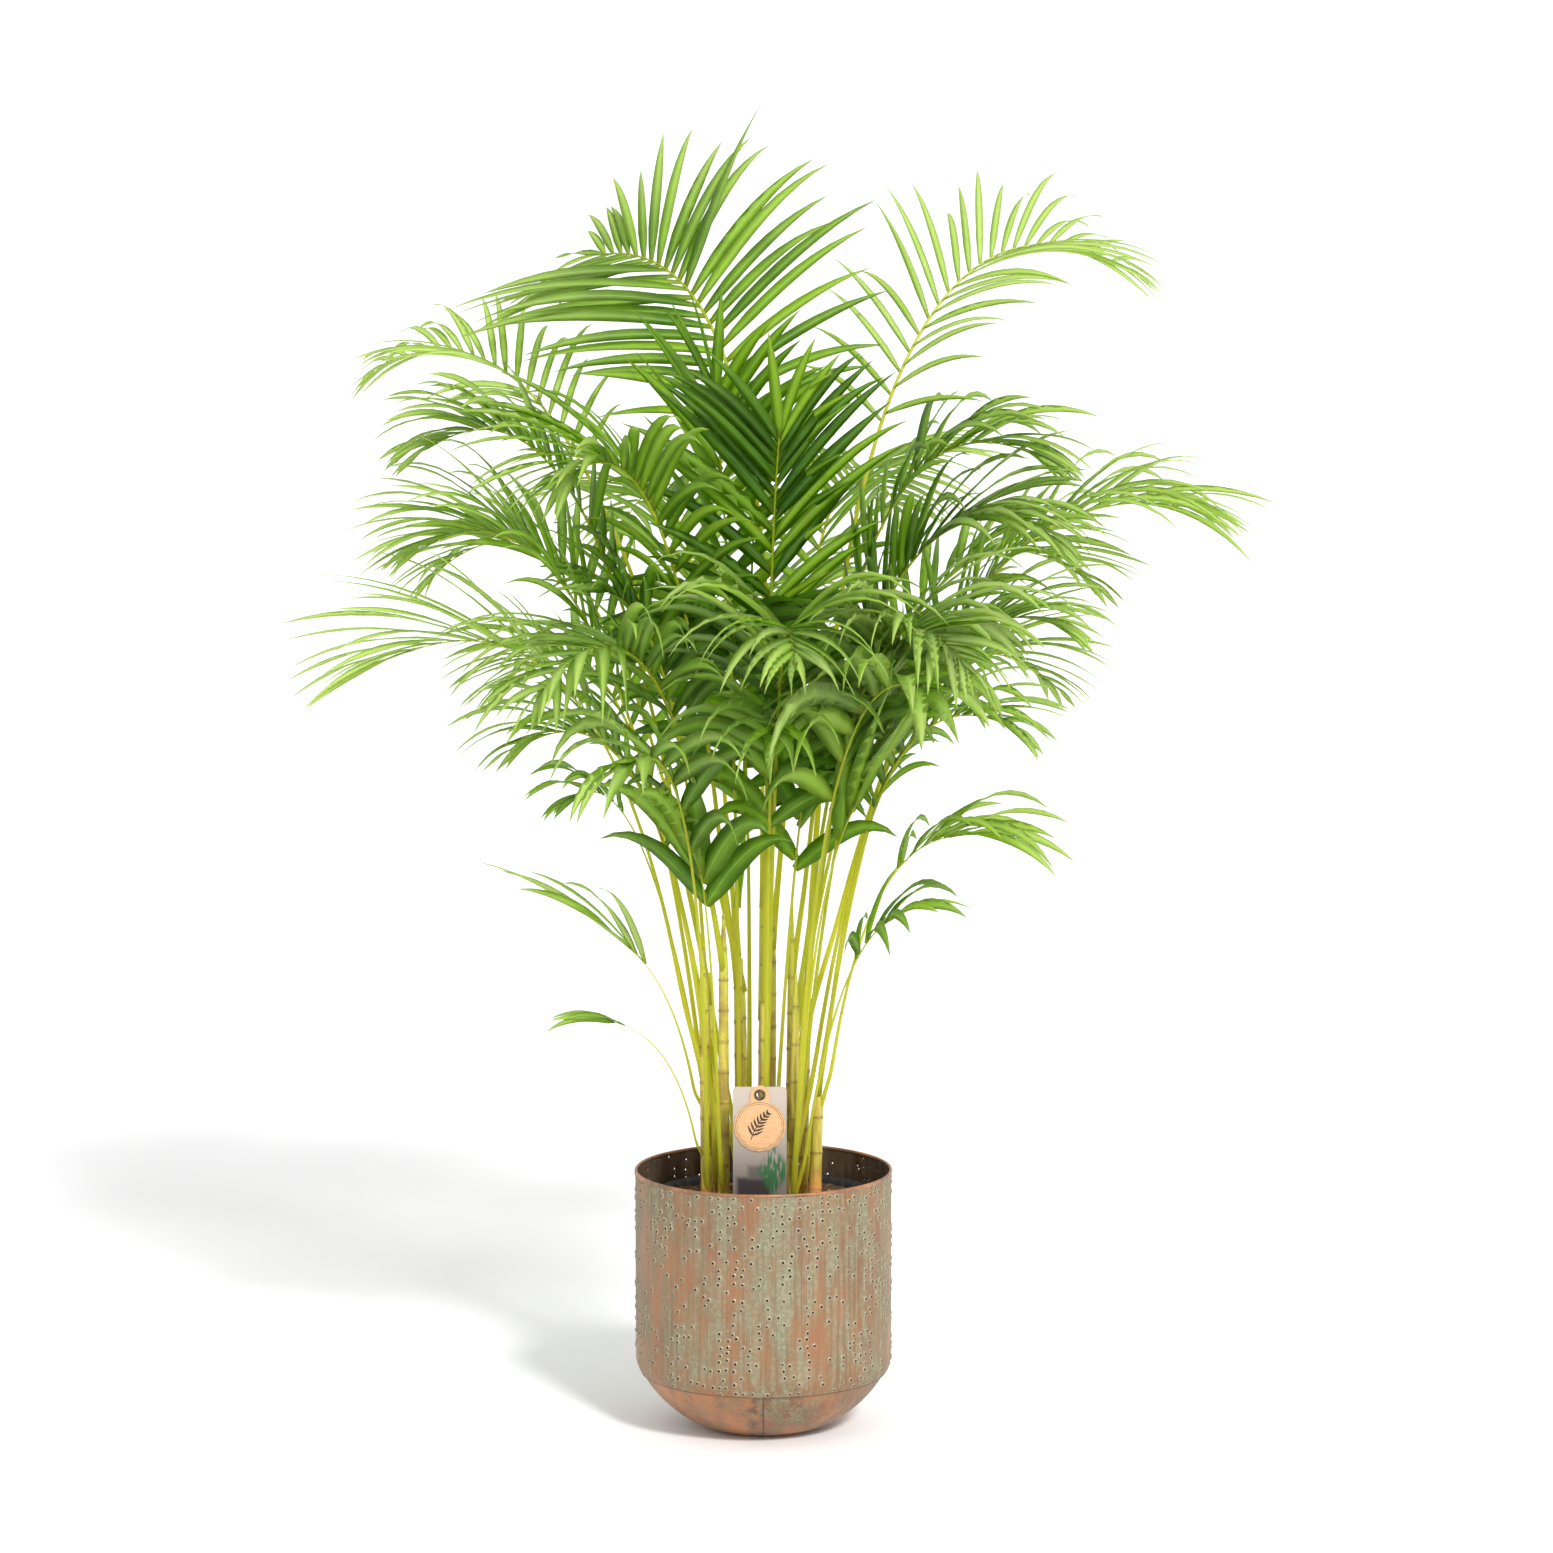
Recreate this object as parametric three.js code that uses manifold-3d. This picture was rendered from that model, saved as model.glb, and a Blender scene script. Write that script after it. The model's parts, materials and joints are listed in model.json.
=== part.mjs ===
// A tall areca palm in a 24 cm nursery pot, stood in a punched copper pot cover 26 cm across.
// Units are mm, +Z is up, and the origin is the centre of the flat disc that the pot stands on.
//
// Everything rests in or on its neighbour, and nothing is hinged:
//   pot      the bowl, and the punched wall that laps over the bowl's top edge
//   planting the nursery pot, its block of soil, and the canes pushed into the soil
//   fronds   one stalk with its leaflets each, standing beside the cane that it grew from
//   labels   a plastic care card in the soil, a hang tag, and the eyelet through both
import * as THREE from "three";
import { mergeVertices } from "three/addons/utils/BufferGeometryUtils.js";
import Module from "manifold-3d";

const wasm = await Module();
wasm.setup();

// ---------------------------------------------------------------- driving sizes
const pot_width = 260; // outside diameter of the straight wall
const pot_height = 266; // floor to the top of the rolled rim
const foot_width = 100; // flat disc under the bowl
const bowl_height = 72; // where the bowl's curve has become upright
const bowl_curve = 1.5; // 2 would be an ellipse, 1 a cone
const seam_height = 57; // lower edge of the punched wall
const lap = 9; // how far the bowl goes up inside the wall
const sheet = 1.2; // sheet metal
const rim_roll = 3; // diameter of the rolled edge

const nursery_side_gap = 10.8; // between the nursery pot's rim and the metal wall
const nursery_foot_width = 172;
const nursery_wall = 1.6;
const nursery_lip = 4;
const soil_below_rim = 34; // soil under the metal rim
const nursery_above_soil = 7;

const cane_scale = 1; // thickness of the canes
const cane_depth = 30; // how deep they stand in the soil
const cane_taper = 0.3; // share of its thickness that a cane loses on the way up
const plant_height = 1088; // soil to the highest knee of a stalk, which scales every stalk's heights
const plant_reach = 420; // middle to the farthest stalk tip along x, which scales the stalks' x and y
const stalk_gap = 0.6; // between a stalk's foot and its cane
const stalk_taper = 0.74;
const leaf_thickness = 0.8;
const leaf_foot = 7; // length of stalk that one leaflet grows from
const leaf_fullness = 1.25; // leaflets are this much wider than the table says

const card_width = 54;
const card_above_soil = 131;
const card_thickness = 0.6;
const card_front = -66; // y of the card's front face
const card_middle = -3.5; // x of its middle
const stake_width = 22;
const stake_depth = 32;
const tag_width = 52;
const tag_neck = 19;
const tag_thickness = 1;
const tag_below_eyelet = 32; // eyelet to the middle of the tag's disc
const eyelet_below_top = 8; // card's top edge to the eyelet's middle
const eyelet_bore = 6.5;
const eyelet_flange = 11.5;
const eyelet_wall = 0.7;

const clearance = 0.35; // left between any two pieces that touch
const round = 48; // sides of everything turned about the pot's axis

const soil_top = pot_height - soil_below_rim;

// ---------------------------------------------------------------- tables
// Canes: x and y at the soil, height over the soil, lean of the top in x and y, radius at the foot.
const cane_table = [
  [-57, -10, 262, -4, -2, 6.3],
  [-40, -27, 300, 0, -4, 6],
  [-47, 20, 230, -8, 6, 4.6],
  [-23, 6, 310, -4, 0, 5.2],
  [-18, 42, 240, -4, 9, 4.6],
  [1, -18, 330, 0, -3, 5.4],
  [8, 30, 290, 2, 6, 4.6],
  [30, -29, 240, 3, -5, 5],
  [52, -4, 120, 4, 0, 6.6],
  [40, 26, 250, 6, 6, 4.8],
  [-2, 62, 200, 0, 10, 4.4],
  [26, 3, 310, 3, 1, 4.8],
];

// Fronds. Each stalk is a quadratic curve from a point beside its cane, drawn towards a knee, to a tip:
//   name, cane, share of the cane's height it leaves at, knee [x, y, z over soil], tip [x, y, z over soil],
//   stalk radius, share of the curve where the leaflets begin, pairs, longest leaflet, its width,
//   length at the tip as a share of the longest, spread of the leaflets (1 is the usual fan),
//   lift of the leaflets out of the blade's plane in degrees, droop, roll of the blade in degrees,
//   lateness of the droop (2 bends the leaflet evenly, 3 and more folds its outer half).
const frond_table = [
  ["crown", 6, 0.95, [30, 60, 983], [-165, 200, 948], 3.4, 0.46, 10, 250, 12.5, 0.28, 1.05, 8, 0.2, -42, 2.4],
  ["back_right_tall", 10, 0.9, [72, 130, 1088], [370, 260, 933], 2.9, 0.42, 10, 175, 8, 0.3, 0.85, 20, 0.3, 25, 2.4],
  ["back_left_tall", 5, 0.9, [-165, 120, 963], [-392, 220, 830], 2.8, 0.43, 9, 150, 8, 0.3, 0.85, 20, 0.35, -20, 2.4],
  ["left_dark", 3, 0.9, [-150, 40, 878], [-330, 30, 768], 2.5, 0.4, 8, 190, 13, 0.3, 0.8, 20, 0.35, 0, 2.4],
  ["left_fine", 4, 0.06, [-140, -25, 778], [-330, -10, 673], 2.5, 0.4, 11, 210, 9, 0.3, 0.62, 20, 0.35, 0, 2.4],
  ["left_far", 1, 0.45, [-135, -30, 648], [-350, -80, 573], 2.4, 0.42, 6, 230, 9, 0.55, 0.5, 20, 0.25, 0, 2.4],
  ["left_low", 2, 0.14, [-85, -60, 558], [-230, -120, 488], 2.4, 0.4, 6, 180, 12, 0.3, 0.75, 20, 0.45, 0, 2.4],
  ["left_slender", 3, 0.35, [-115, 22, 448], [-185, 30, 413], 1.7, 0.66, 5, 130, 11, 0.3, 0.75, 20, 0.5, 0, 2.4],
  ["left_lowest", 1, 0.35, [-84, -6, 218], [-134, -30, 265], 1.7, 0.8, 2, 185, 11, 0.9, 0.5, 20, 0.3, 0, 2.4],
  ["sprout", 1, 0.15, [-82, -28, 173], [-150, -45, 193], 1.3, 0.85, 1, 75, 7, 1, 0.3, 20, 0.35, 0, 2.4],
  ["right_low", 9, 0.7, [92, -15, 368], [190, -35, 380], 2, 0.66, 5, 175, 13, 0.8, 0.75, 20, 0.5, 0, 2.4],
  ["right_lowest", 8, 0.006, [66, -58, 268], [128, -80, 303], 2, 0.66, 4, 125, 14, 0.8, 0.75, 20, 0.5, 0, 2.4],
  ["right_reach", 9, 0.95, [95, -60, 568], [240, -105, 503], 2.4, 0.4, 6, 165, 13, 0.3, 0.75, 20, 0.5, 0, 2.4],
  ["right_broad", 8, 0.14, [46, -70, 338], [92, -110, 423], 2.2, 0.74, 2, 190, 27, 0.8, 0.3, 20, 0.12, 0, 2.4],
  ["right_mid", 12, 0.03, [110, -8, 648], [280, -40, 598], 2.5, 0.38, 9, 195, 10, 0.3, 0.68, 20, 0.45, 0, 2.4],
  ["right_dense", 12, 0.5, [80, -30, 773], [265, -70, 693], 2.5, 0.36, 11, 205, 12, 0.3, 0.7, 20, 0.45, 0, 2.4],
  ["right_far", 10, 0.7, [165, 30, 753], [420, 60, 703], 2.5, 0.4, 11, 235, 9, 0.3, 0.72, 20, 0.42, 0, 2.4],
  ["right_upper", 12, 0.7, [70, 20, 853], [270, 40, 758], 2.5, 0.38, 9, 190, 12, 0.3, 0.75, 20, 0.45, 0, 2.4],
  ["front_fan", 6, 0.6, [4, -60, 648], [16, -110, 788], 2.5, 0.46, 6, 190, 15, 0.6, 0.8, 20, 0.22, 0, 2.4],
  ["front_fan_left", 4, 0.006, [-26, -30, 628], [-48, -70, 828], 2.5, 0.5, 6, 185, 15, 0.6, 0.75, 20, 0.2, 0, 2.4],
  ["front_left_broad", 2, 0.006, [-50, -70, 288], [-62, -100, 353], 2.2, 0.74, 2, 165, 25, 0.9, 0.55, 8, 0.42, 0, 3],
  ["front_high", 6, 0.14, [14, -130, 718], [30, -300, 598], 2.5, 0.42, 8, 195, 14, 0.3, 0.85, 20, 0.6, 0, 3],
  ["front_mid", 6, 0.006, [6, -105, 558], [12, -215, 513], 2.5, 0.45, 3, 165, 24, 0.5, 0.85, 20, 1, 0, 3.4],
  ["back_left", 5, 0.7, [-60, 160, 848], [-150, 380, 648], 2.5, 0.36, 9, 195, 11, 0.3, 0.75, 20, 0.35, 0, 2.4],
  ["back_right", 7, 0.9, [50, 170, 868], [140, 400, 668], 2.5, 0.36, 9, 195, 11, 0.3, 0.75, 20, 0.35, 0, 2.4],
  ["back", 11, 0.9, [0, 180, 728], [0, 430, 538], 2.5, 0.34, 9, 185, 11, 0.3, 0.75, 20, 0.35, 0, 2.4],
  ["back_left_low", 3, 0.006, [-110, 140, 668], [-270, 260, 498], 2.5, 0.36, 8, 175, 11, 0.3, 0.75, 20, 0.35, 0, 2.4],
  ["back_right_low", 10, 0.006, [115, 120, 668], [290, 250, 503], 2.5, 0.36, 8, 175, 11, 0.3, 0.75, 20, 0.35, 0, 2.4],
  ["left_front_high", 4, 0.7, [-75, -55, 848], [-190, -150, 753], 2.5, 0.38, 9, 195, 13, 0.3, 0.75, 20, 0.4, 0, 2.4],
  ["right_front", 12, 0.18, [78, -125, 728], [190, -270, 588], 2.5, 0.38, 8, 185, 14, 0.3, 0.75, 20, 0.65, 0, 3],
  ["left_front", 2, 0.8, [-85, -110, 698], [-210, -250, 558], 2.5, 0.38, 8, 185, 13, 0.3, 0.75, 20, 0.6, 0, 3],
  ["front_low_left", 1, 0.006, [-55, -120, 518], [-125, -225, 483], 2.2, 0.45, 6, 160, 20, 0.6, 0.75, 20, 0.9, 0, 3.4],
  ["front_low_right", 8, 0.006, [48, -135, 588], [150, -240, 558], 2.3, 0.44, 4, 185, 25, 0.5, 0.75, 20, 1, 0, 3.4],
  ["right_back_mid", 7, 0.006, [100, 130, 778], [325, 200, 618], 2.5, 0.38, 8, 190, 11, 0.3, 0.75, 20, 0.35, 0, 2.4],
  ["left_back_mid", 5, 0.006, [-125, 90, 798], [-330, 180, 628], 2.5, 0.38, 8, 190, 11, 0.3, 0.75, 20, 0.35, 0, 2.4],
  ["center_dark", 4, 0.006, [-10, 10, 528], [-30, -60, 588], 2.5, 0.46, 6, 185, 20, 0.6, 1, 20, 0.5, 0, 2.4],
  ["center_low", 6, 0.006, [30, -30, 408], [50, -90, 483], 2.2, 0.5, 5, 170, 23, 0.7, 0.6, 10, 0.7, 0, 3.4],
  ["right_hang", 12, 0.006, [75, -70, 568], [150, -150, 568], 2.2, 0.5, 4, 195, 24, 0.6, 0.8, 20, 1, 0, 3.2],
  ["left_inner", 3, 0.006, [-60, -10, 588], [-150, -60, 628], 2.5, 0.44, 6, 190, 16, 0.3, 0.8, 20, 0.45, 0, 2.4],
  ["spear", 4, 0.98, [-18, 16, 528], [-6, 26, 758], 3, 1, 0, 0, 11, 0.3, 0.75, 20, 0.35, 0, 2.4],
];

// The table's x and y, heights and leaflet lengths are brought to the plant's own size.
const reach = plant_reach / Math.max(...frond_table.map((row) => Math.abs(row[4][0])));
const rise = plant_height / Math.max(...frond_table.map((row) => row[3][2]));
const leaf_scale = (reach + rise) / 2;
const cane_rows = cane_table.map(([x, y, height, ...rest]) => [x, y, height * rise, ...rest]);

// ---------------------------------------------------------------- helpers
const group = new THREE.Group();
group.name = "potted_palm";

function material(color, roughness, metalness = 0) {
  return new THREE.MeshStandardMaterial({ color, roughness, metalness });
}

function branch(name) {
  const part = new THREE.Group();
  part.name = name;
  group.add(part);
  return part;
}

function piece(parent, name, geometry, look) {
  const mesh = new THREE.Mesh(geometry, look);
  mesh.name = name;
  parent.add(mesh);
  return mesh;
}

// A profile of [radius, height] points turned about Z.
function turned(profile, sides = round) {
  const points = profile.map(([r, z]) => new THREE.Vector2(r, z));
  const geometry = new THREE.LatheGeometry(points, sides);
  geometry.rotateX(Math.PI / 2);
  return geometry;
}

function solid(geometry) {
  const plain = geometry.clone();
  plain.deleteAttribute("normal");
  plain.deleteAttribute("uv");
  const merged = mergeVertices(plain, 1e-3);
  const mesh = new wasm.Mesh({
    numProp: 3,
    vertProperties: merged.attributes.position.array,
    triVerts: new Uint32Array(merged.index.array),
  });
  return new wasm.Manifold(mesh);
}

function geometryOf(cut) {
  const mesh = cut.getMesh();
  const geometry = new THREE.BufferGeometry();
  geometry.setAttribute("position", new THREE.BufferAttribute(mesh.vertProperties, 3));
  geometry.setIndex(new THREE.BufferAttribute(mesh.triVerts, 1));
  return geometry;
}

// ---------------------------------------------------------------- pot
// Outside radius of the pot at a height: a superellipse up to bowl_height, then upright.
function pot_radius(z) {
  const up = Math.min(1, z / bowl_height);
  const bend = Math.pow(1 - Math.pow(1 - up, bowl_curve), 1 / bowl_curve);
  return foot_width / 2 + lap_step + (pot_width / 2 - foot_width / 2 - lap_step) * bend;
}

// The bowl's skin lies one sheet and one clearance inside the wall's, all the way down.
const lap_step = sheet + clearance;

function inset(points, by) {
  return points.map(([r, z], i) => {
    const [ra, za] = points[Math.max(0, i - 1)];
    const [rb, zb] = points[Math.min(points.length - 1, i + 1)];
    const long = Math.hypot(rb - ra, zb - za);
    return [r - (by * (zb - za)) / long, z + (by * (rb - ra)) / long];
  });
}

const bowl_shares = [0, 0.044, 0.14, 0.316, 0.544, 0.772, 1]; // of the seam's height, closer near the foot
const bowl_heights = [...bowl_shares.map((share) => share * seam_height), seam_height + lap];
const bowl_skin = bowl_heights.map((z) => [pot_radius(z) - lap_step, z]);
const bowl_inside = inset(bowl_skin, sheet);
bowl_inside[0][1] = sheet;

const curve_end = Math.max(bowl_height, seam_height + lap) + 6; // upright above both
const wall_heights = [seam_height, seam_height + lap, curve_end, pot_height - rim_roll];
const wall_skin = wall_heights.map((z) => [pot_radius(z), z]);
const wall_inside = inset(wall_skin, sheet);
wall_inside[0] = [pot_radius(seam_height) - sheet, seam_height];

const roll_middle = [pot_width / 2 - sheet / 2, pot_height - rim_roll / 2];
const roll = [];
for (let i = 0; i <= 6; i += 1) {
  const turn = -Math.PI / 3 + (i / 6) * ((5 * Math.PI) / 3);
  const r = rim_roll / 2;
  roll.push([roll_middle[0] + r * Math.cos(turn), roll_middle[1] + r * Math.sin(turn)]);
}

const pot = branch("pot");
const copper = material(0xa9744f, 0.45, 0.8);
piece(
  pot,
  "pot_wall",
  turned([...wall_skin.slice(0, -1), ...roll, ...wall_inside.slice(0, -1).reverse(), wall_skin[0]]),
  material(0x8f8468, 0.55, 0.6),
);
piece(pot, "pot_base", turned([[0, 0], ...bowl_skin, ...bowl_inside.slice().reverse(), [0, sheet]]), copper);

// ---------------------------------------------------------------- nursery pot
// Its floor stands where the bowl inside has become as wide as the nursery pot's foot.
function bowl_floor(radius) {
  for (let i = 1; i < bowl_inside.length; i += 1) {
    const [ra, za] = bowl_inside[i - 1];
    const [rb, zb] = bowl_inside[i];
    if (radius <= rb) return za + ((zb - za) * (radius - ra)) / (rb - ra);
  }
  return seam_height;
}

const nursery_foot = nursery_foot_width / 2;
const nursery_floor = bowl_floor(nursery_foot) + clearance;
const nursery_top = soil_top + nursery_above_soil;
const nursery_rim = pot_width / 2 - sheet - nursery_side_gap;
const nursery_body = nursery_rim - nursery_lip;
const planting = branch("planting");
piece(
  planting,
  "nursery_pot",
  turned([
    [0, nursery_floor],
    [nursery_foot, nursery_floor],
    [nursery_body, nursery_top - nursery_lip],
    [nursery_rim, nursery_top - nursery_lip],
    [nursery_rim, nursery_top],
    [nursery_body - nursery_wall, nursery_top],
    [nursery_foot - nursery_wall, nursery_floor + nursery_wall],
    [0, nursery_floor + nursery_wall],
  ]),
  material(0x1d1c1b, 0.6),
);

// ---------------------------------------------------------------- canes
// A cane with a ring scar at a third and at two thirds of its height; `extra` fattens it for its socket.
function cane_geometry([, , height, , , foot], extra, depth) {
  const full = height + depth;
  const radius = (z) => (foot * cane_scale + extra) * (1 - cane_taper * Math.max(0, (z - depth) / height));
  const profile = [[0, 0], [radius(0), 0]];
  for (const share of [0.33, 0.66]) {
    const z = depth + height * share;
    profile.push([radius(z), z - 3], [radius(z) + 0.8, z], [radius(z), z + 3]);
  }
  profile.push([radius(full), full], [0, full]);
  return turned(profile, 8);
}

function place_cane(object, [x, y, height, lean_x, lean_y], depth) {
  const lean = new THREE.Vector3(lean_x, lean_y, height).normalize();
  object.quaternion.setFromUnitVectors(new THREE.Vector3(0, 0, 1), lean);
  object.position.set(x, y, soil_top).addScaledVector(lean, -depth);
}

const canes = cane_rows.map((row, i) => {
  const name = "cane_" + String(i + 1).padStart(2, "0");
  const mesh = piece(planting, name, cane_geometry(row, 0, cane_depth), material(0x9c8f3a, 0.55));
  place_cane(mesh, row, cane_depth);
  mesh.updateMatrix();
  return mesh;
});

// ---------------------------------------------------------------- labels
const labels = branch("labels");
const eyelet_z = soil_top + card_above_soil - eyelet_below_top;
const eyelet_barrel = eyelet_bore / 2 + eyelet_wall;
const eyelet_hole = eyelet_barrel + clearance;

function round_hole() {
  const hole = new THREE.Path();
  hole.absarc(0, 0, eyelet_hole, 0, Math.PI * 2, true);
  return hole;
}

// The card's outline about the eyelet: rounded top corners, square shoulders and a pointed stake below.
function card_outline(grow) {
  const half = card_width / 2 + grow;
  const top = eyelet_below_top + grow;
  const soil = top - card_above_soil - grow;
  const corner = 4;
  const stake = stake_width / 2 + grow;
  const outline = new THREE.Shape();
  outline.moveTo(-half, soil);
  outline.lineTo(-stake, soil);
  outline.lineTo(-stake, soil - stake_depth * 0.6);
  outline.lineTo(0, soil - stake_depth - grow);
  outline.lineTo(stake, soil - stake_depth * 0.6);
  outline.lineTo(stake, soil);
  outline.lineTo(half, soil);
  outline.lineTo(half, top - corner);
  outline.absarc(half - corner, top - corner, corner, 0, Math.PI / 2, false);
  outline.lineTo(-half + corner, top);
  outline.absarc(-half + corner, top - corner, corner, Math.PI / 2, Math.PI, false);
  return outline;
}

// A flat outline in x and z, made thick towards +y, with its middle at the eyelet.
function plate(outline, thickness, front) {
  const geometry = new THREE.ExtrudeGeometry(outline, {
    depth: thickness,
    bevelEnabled: false,
    curveSegments: 7,
  });
  geometry.rotateX(Math.PI / 2);
  geometry.translate(card_middle, front + thickness, eyelet_z);
  return geometry;
}

const card_shape = card_outline(0);
card_shape.holes.push(round_hole());
piece(labels, "care_card", plate(card_shape, card_thickness, card_front), material(0x9a948c, 0.35));

const tag_front = card_front - clearance - tag_thickness;
const tag_shape = new THREE.Shape();
const neck_turn = Math.asin(tag_neck / tag_width);
const neck_from = Math.PI / 2 + neck_turn;
const neck_to = Math.PI * 2.5 - neck_turn;
tag_shape.absarc(0, -tag_below_eyelet, tag_width / 2, neck_from, neck_to, false);
tag_shape.lineTo(tag_neck / 2, 0);
tag_shape.absarc(0, 0, tag_neck / 2, 0, Math.PI, false);
tag_shape.holes.push(round_hole());
piece(labels, "hang_tag", plate(tag_shape, tag_thickness, tag_front), material(0xc89a6b, 0.8));

// The eyelet: a short tube with a flange in front of the tag and one behind the card.
const flange = 0.6;
const barrel_from = tag_front - clearance;
const barrel_to = card_front + card_thickness + clearance;
const eyelet_profile = [
  [eyelet_bore / 2, barrel_from - flange],
  [eyelet_flange / 2, barrel_from - flange],
  [eyelet_flange / 2, barrel_from],
  [eyelet_barrel, barrel_from],
  [eyelet_barrel, barrel_to],
  [eyelet_flange / 2, barrel_to],
  [eyelet_flange / 2, barrel_to + flange],
  [eyelet_bore / 2, barrel_to + flange],
  [eyelet_bore / 2, barrel_from - flange],
];
const eyelet = piece(labels, "eyelet", turned(eyelet_profile, 20), material(0x4a4640, 0.3, 1));
eyelet.rotation.x = -Math.PI / 2;
eyelet.position.set(card_middle, 0, eyelet_z);

// ---------------------------------------------------------------- soil
// One block filling the nursery pot, with a socket for each cane and a slot for the card's stake.
const soil_floor = nursery_floor + nursery_wall + clearance;
function nursery_inside(z) {
  const up = (z - nursery_floor) / (nursery_top - nursery_floor);
  return nursery_foot + (nursery_body - nursery_foot) * up - nursery_wall - clearance * 1.5;
}
let soil = solid(
  turned([
    [0, soil_floor],
    [nursery_inside(soil_floor), soil_floor],
    [nursery_inside(soil_top), soil_top],
    [0, soil_top],
  ]),
);
const socket_depth = cane_depth + clearance;
cane_rows.forEach((row) => {
  const socket = new THREE.Mesh(cane_geometry(row, clearance, socket_depth));
  place_cane(socket, row, socket_depth);
  socket.updateMatrix();
  soil = soil.subtract(solid(socket.geometry.applyMatrix4(socket.matrix)));
});
const slot_thickness = card_thickness + 2 * clearance;
soil = soil.subtract(solid(plate(card_outline(clearance), slot_thickness, card_front - clearance)));
piece(planting, "soil", geometryOf(soil), material(0x4a2f20, 0.95));

// ---------------------------------------------------------------- fronds
const down = new THREE.Vector3(0, 0, -1);
const line_steps = 12; // steps along a leaflet's middle line
const ring_stations = [[4, 1], [9, 0.65]]; // a ring's place on that line, and its share of the full width

// A table point [x, y, z over soil] in the plant's own size.
function table_point([x, y, z]) {
  return new THREE.Vector3(x * reach, y * reach, soil_top + z * rise);
}

// A point on a cane's axis at a share of its height, and the cane's radius there.
function cane_at(index, share) {
  const [x, y, height, lean_x, lean_y, foot] = cane_rows[index];
  const at = new THREE.Vector3(x + lean_x * share, y + lean_y * share, soil_top + height * share);
  return [at, foot * cane_scale * (1 - cane_taper * share)];
}

// The stalk's curve and the frame that rides on it: forwards, up out of the blade, and sideways.
function stalk_curve(row) {
  const [, cane, share, knee_row, tip_row, radius] = row;
  const knee = table_point(knee_row);
  const tip = table_point(tip_row);
  const [at, cane_radius] = cane_at(cane - 1, share);
  const away = new THREE.Vector3(knee.x - at.x, knee.y - at.y, 0).normalize();
  const foot = at.addScaledVector(away, cane_radius + radius + stalk_gap);
  return new THREE.QuadraticBezierCurve3(foot, knee, tip);
}

function stalk_frame(curve, t, roll) {
  const forwards = curve.getTangent(t).normalize();
  const bend = curve.v0.clone().addScaledVector(curve.v1, -2).add(curve.v2);
  const up = bend.addScaledVector(forwards, -bend.dot(forwards)).normalize().negate();
  const side = forwards.clone().cross(up);
  const turn = THREE.MathUtils.degToRad(roll);
  const rolled = up.clone().multiplyScalar(Math.cos(turn)).addScaledVector(side, Math.sin(turn));
  side.multiplyScalar(Math.cos(turn)).addScaledVector(up, -Math.sin(turn));
  return { at: curve.getPoint(t), forwards, up: rolled, side };
}

// Four corners of the stalk: right and left of the middle, below and above it, counted from right below.
function stalk_section(curve, t, radius, roll) {
  const { at, up, side } = stalk_frame(curve, t, roll);
  const half = radius * (1 - stalk_taper * t) * Math.SQRT1_2;
  return [[1, -1], [1, 1], [-1, 1], [-1, -1]].map(([s, u]) =>
    at.clone().addScaledVector(side, s * half).addScaledVector(up, u * half),
  );
}

function quad(list, a, b, c, d) {
  list.push(a, b, c, a, c, d);
}

function from_points(list) {
  const geometry = new THREE.BufferGeometry().setFromPoints(list);
  return mergeVertices(geometry, 1e-4);
}

// The middle line of a leaflet: it sets out along `aim` and turns down more and more under its own weight.
function leaflet_line(at, aim, length, droop, late) {
  const heading = (q) => aim.clone().addScaledVector(down, 2 * droop * Math.pow(q, late - 1)).normalize();
  const line = [at.clone()];
  for (let i = 0; i < line_steps; i += 1) {
    const turn = heading(i / line_steps).add(heading((i + 1) / line_steps));
    line.push(line[i].clone().addScaledVector(turn, length / line_steps / 2));
  }
  return line;
}

// A leaflet's two rings of four and its point, grown on the stalk frame `f`.
// hand is 1 for the right side and -1 for the left; `fat` swells it to test the room around it.
function leaflet(f, hand, shape, change, fat) {
  const angle = THREE.MathUtils.degToRad(shape.angle + change[0]);
  const lift = THREE.MathUtils.degToRad(shape.lift + change[1]);
  const out = f.side.clone().multiplyScalar(hand * Math.cos(lift)).addScaledVector(f.up, Math.sin(lift));
  const aim = f.forwards.clone().multiplyScalar(Math.cos(angle)).addScaledVector(out, Math.sin(angle));
  const line = leaflet_line(f.at, aim, shape.length * change[2], shape.droop, shape.late);
  const run_at = (i) => line[i].clone().sub(line[i - 1]).normalize();
  let wide = f.forwards;
  const rings = ring_stations.map(([i, share]) => {
    const run = run_at(i);
    wide = wide.clone().addScaledVector(run, -wide.dot(run)).normalize();
    const thick = wide.clone().cross(run).multiplyScalar(-hand);
    const half = (shape.width / 2) * share + fat;
    const skin = leaf_thickness / 2 + fat;
    const corner = (w, u) => line[i].clone().addScaledVector(wide, w * half).addScaledVector(thick, u * skin);
    return [[-1, -1], [1, -1], [1, 1], [-1, 1]].map(([w, u]) => corner(w, u * hand));
  });
  return { rings, tip: line[line_steps].clone().addScaledVector(run_at(line_steps), fat) };
}

// The four faces between two rings. The upper and lower ones are cut along the same diagonal, so that a
// thin twisted blade never passes through itself.
function sleeve(list, back, front) {
  quad(list, back[0], back[1], front[1], front[0]);
  quad(list, back[1], back[2], front[2], front[1]);
  quad(list, back[3], front[3], front[2], back[2]);
  quad(list, back[3], back[0], front[0], front[3]);
}

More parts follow.
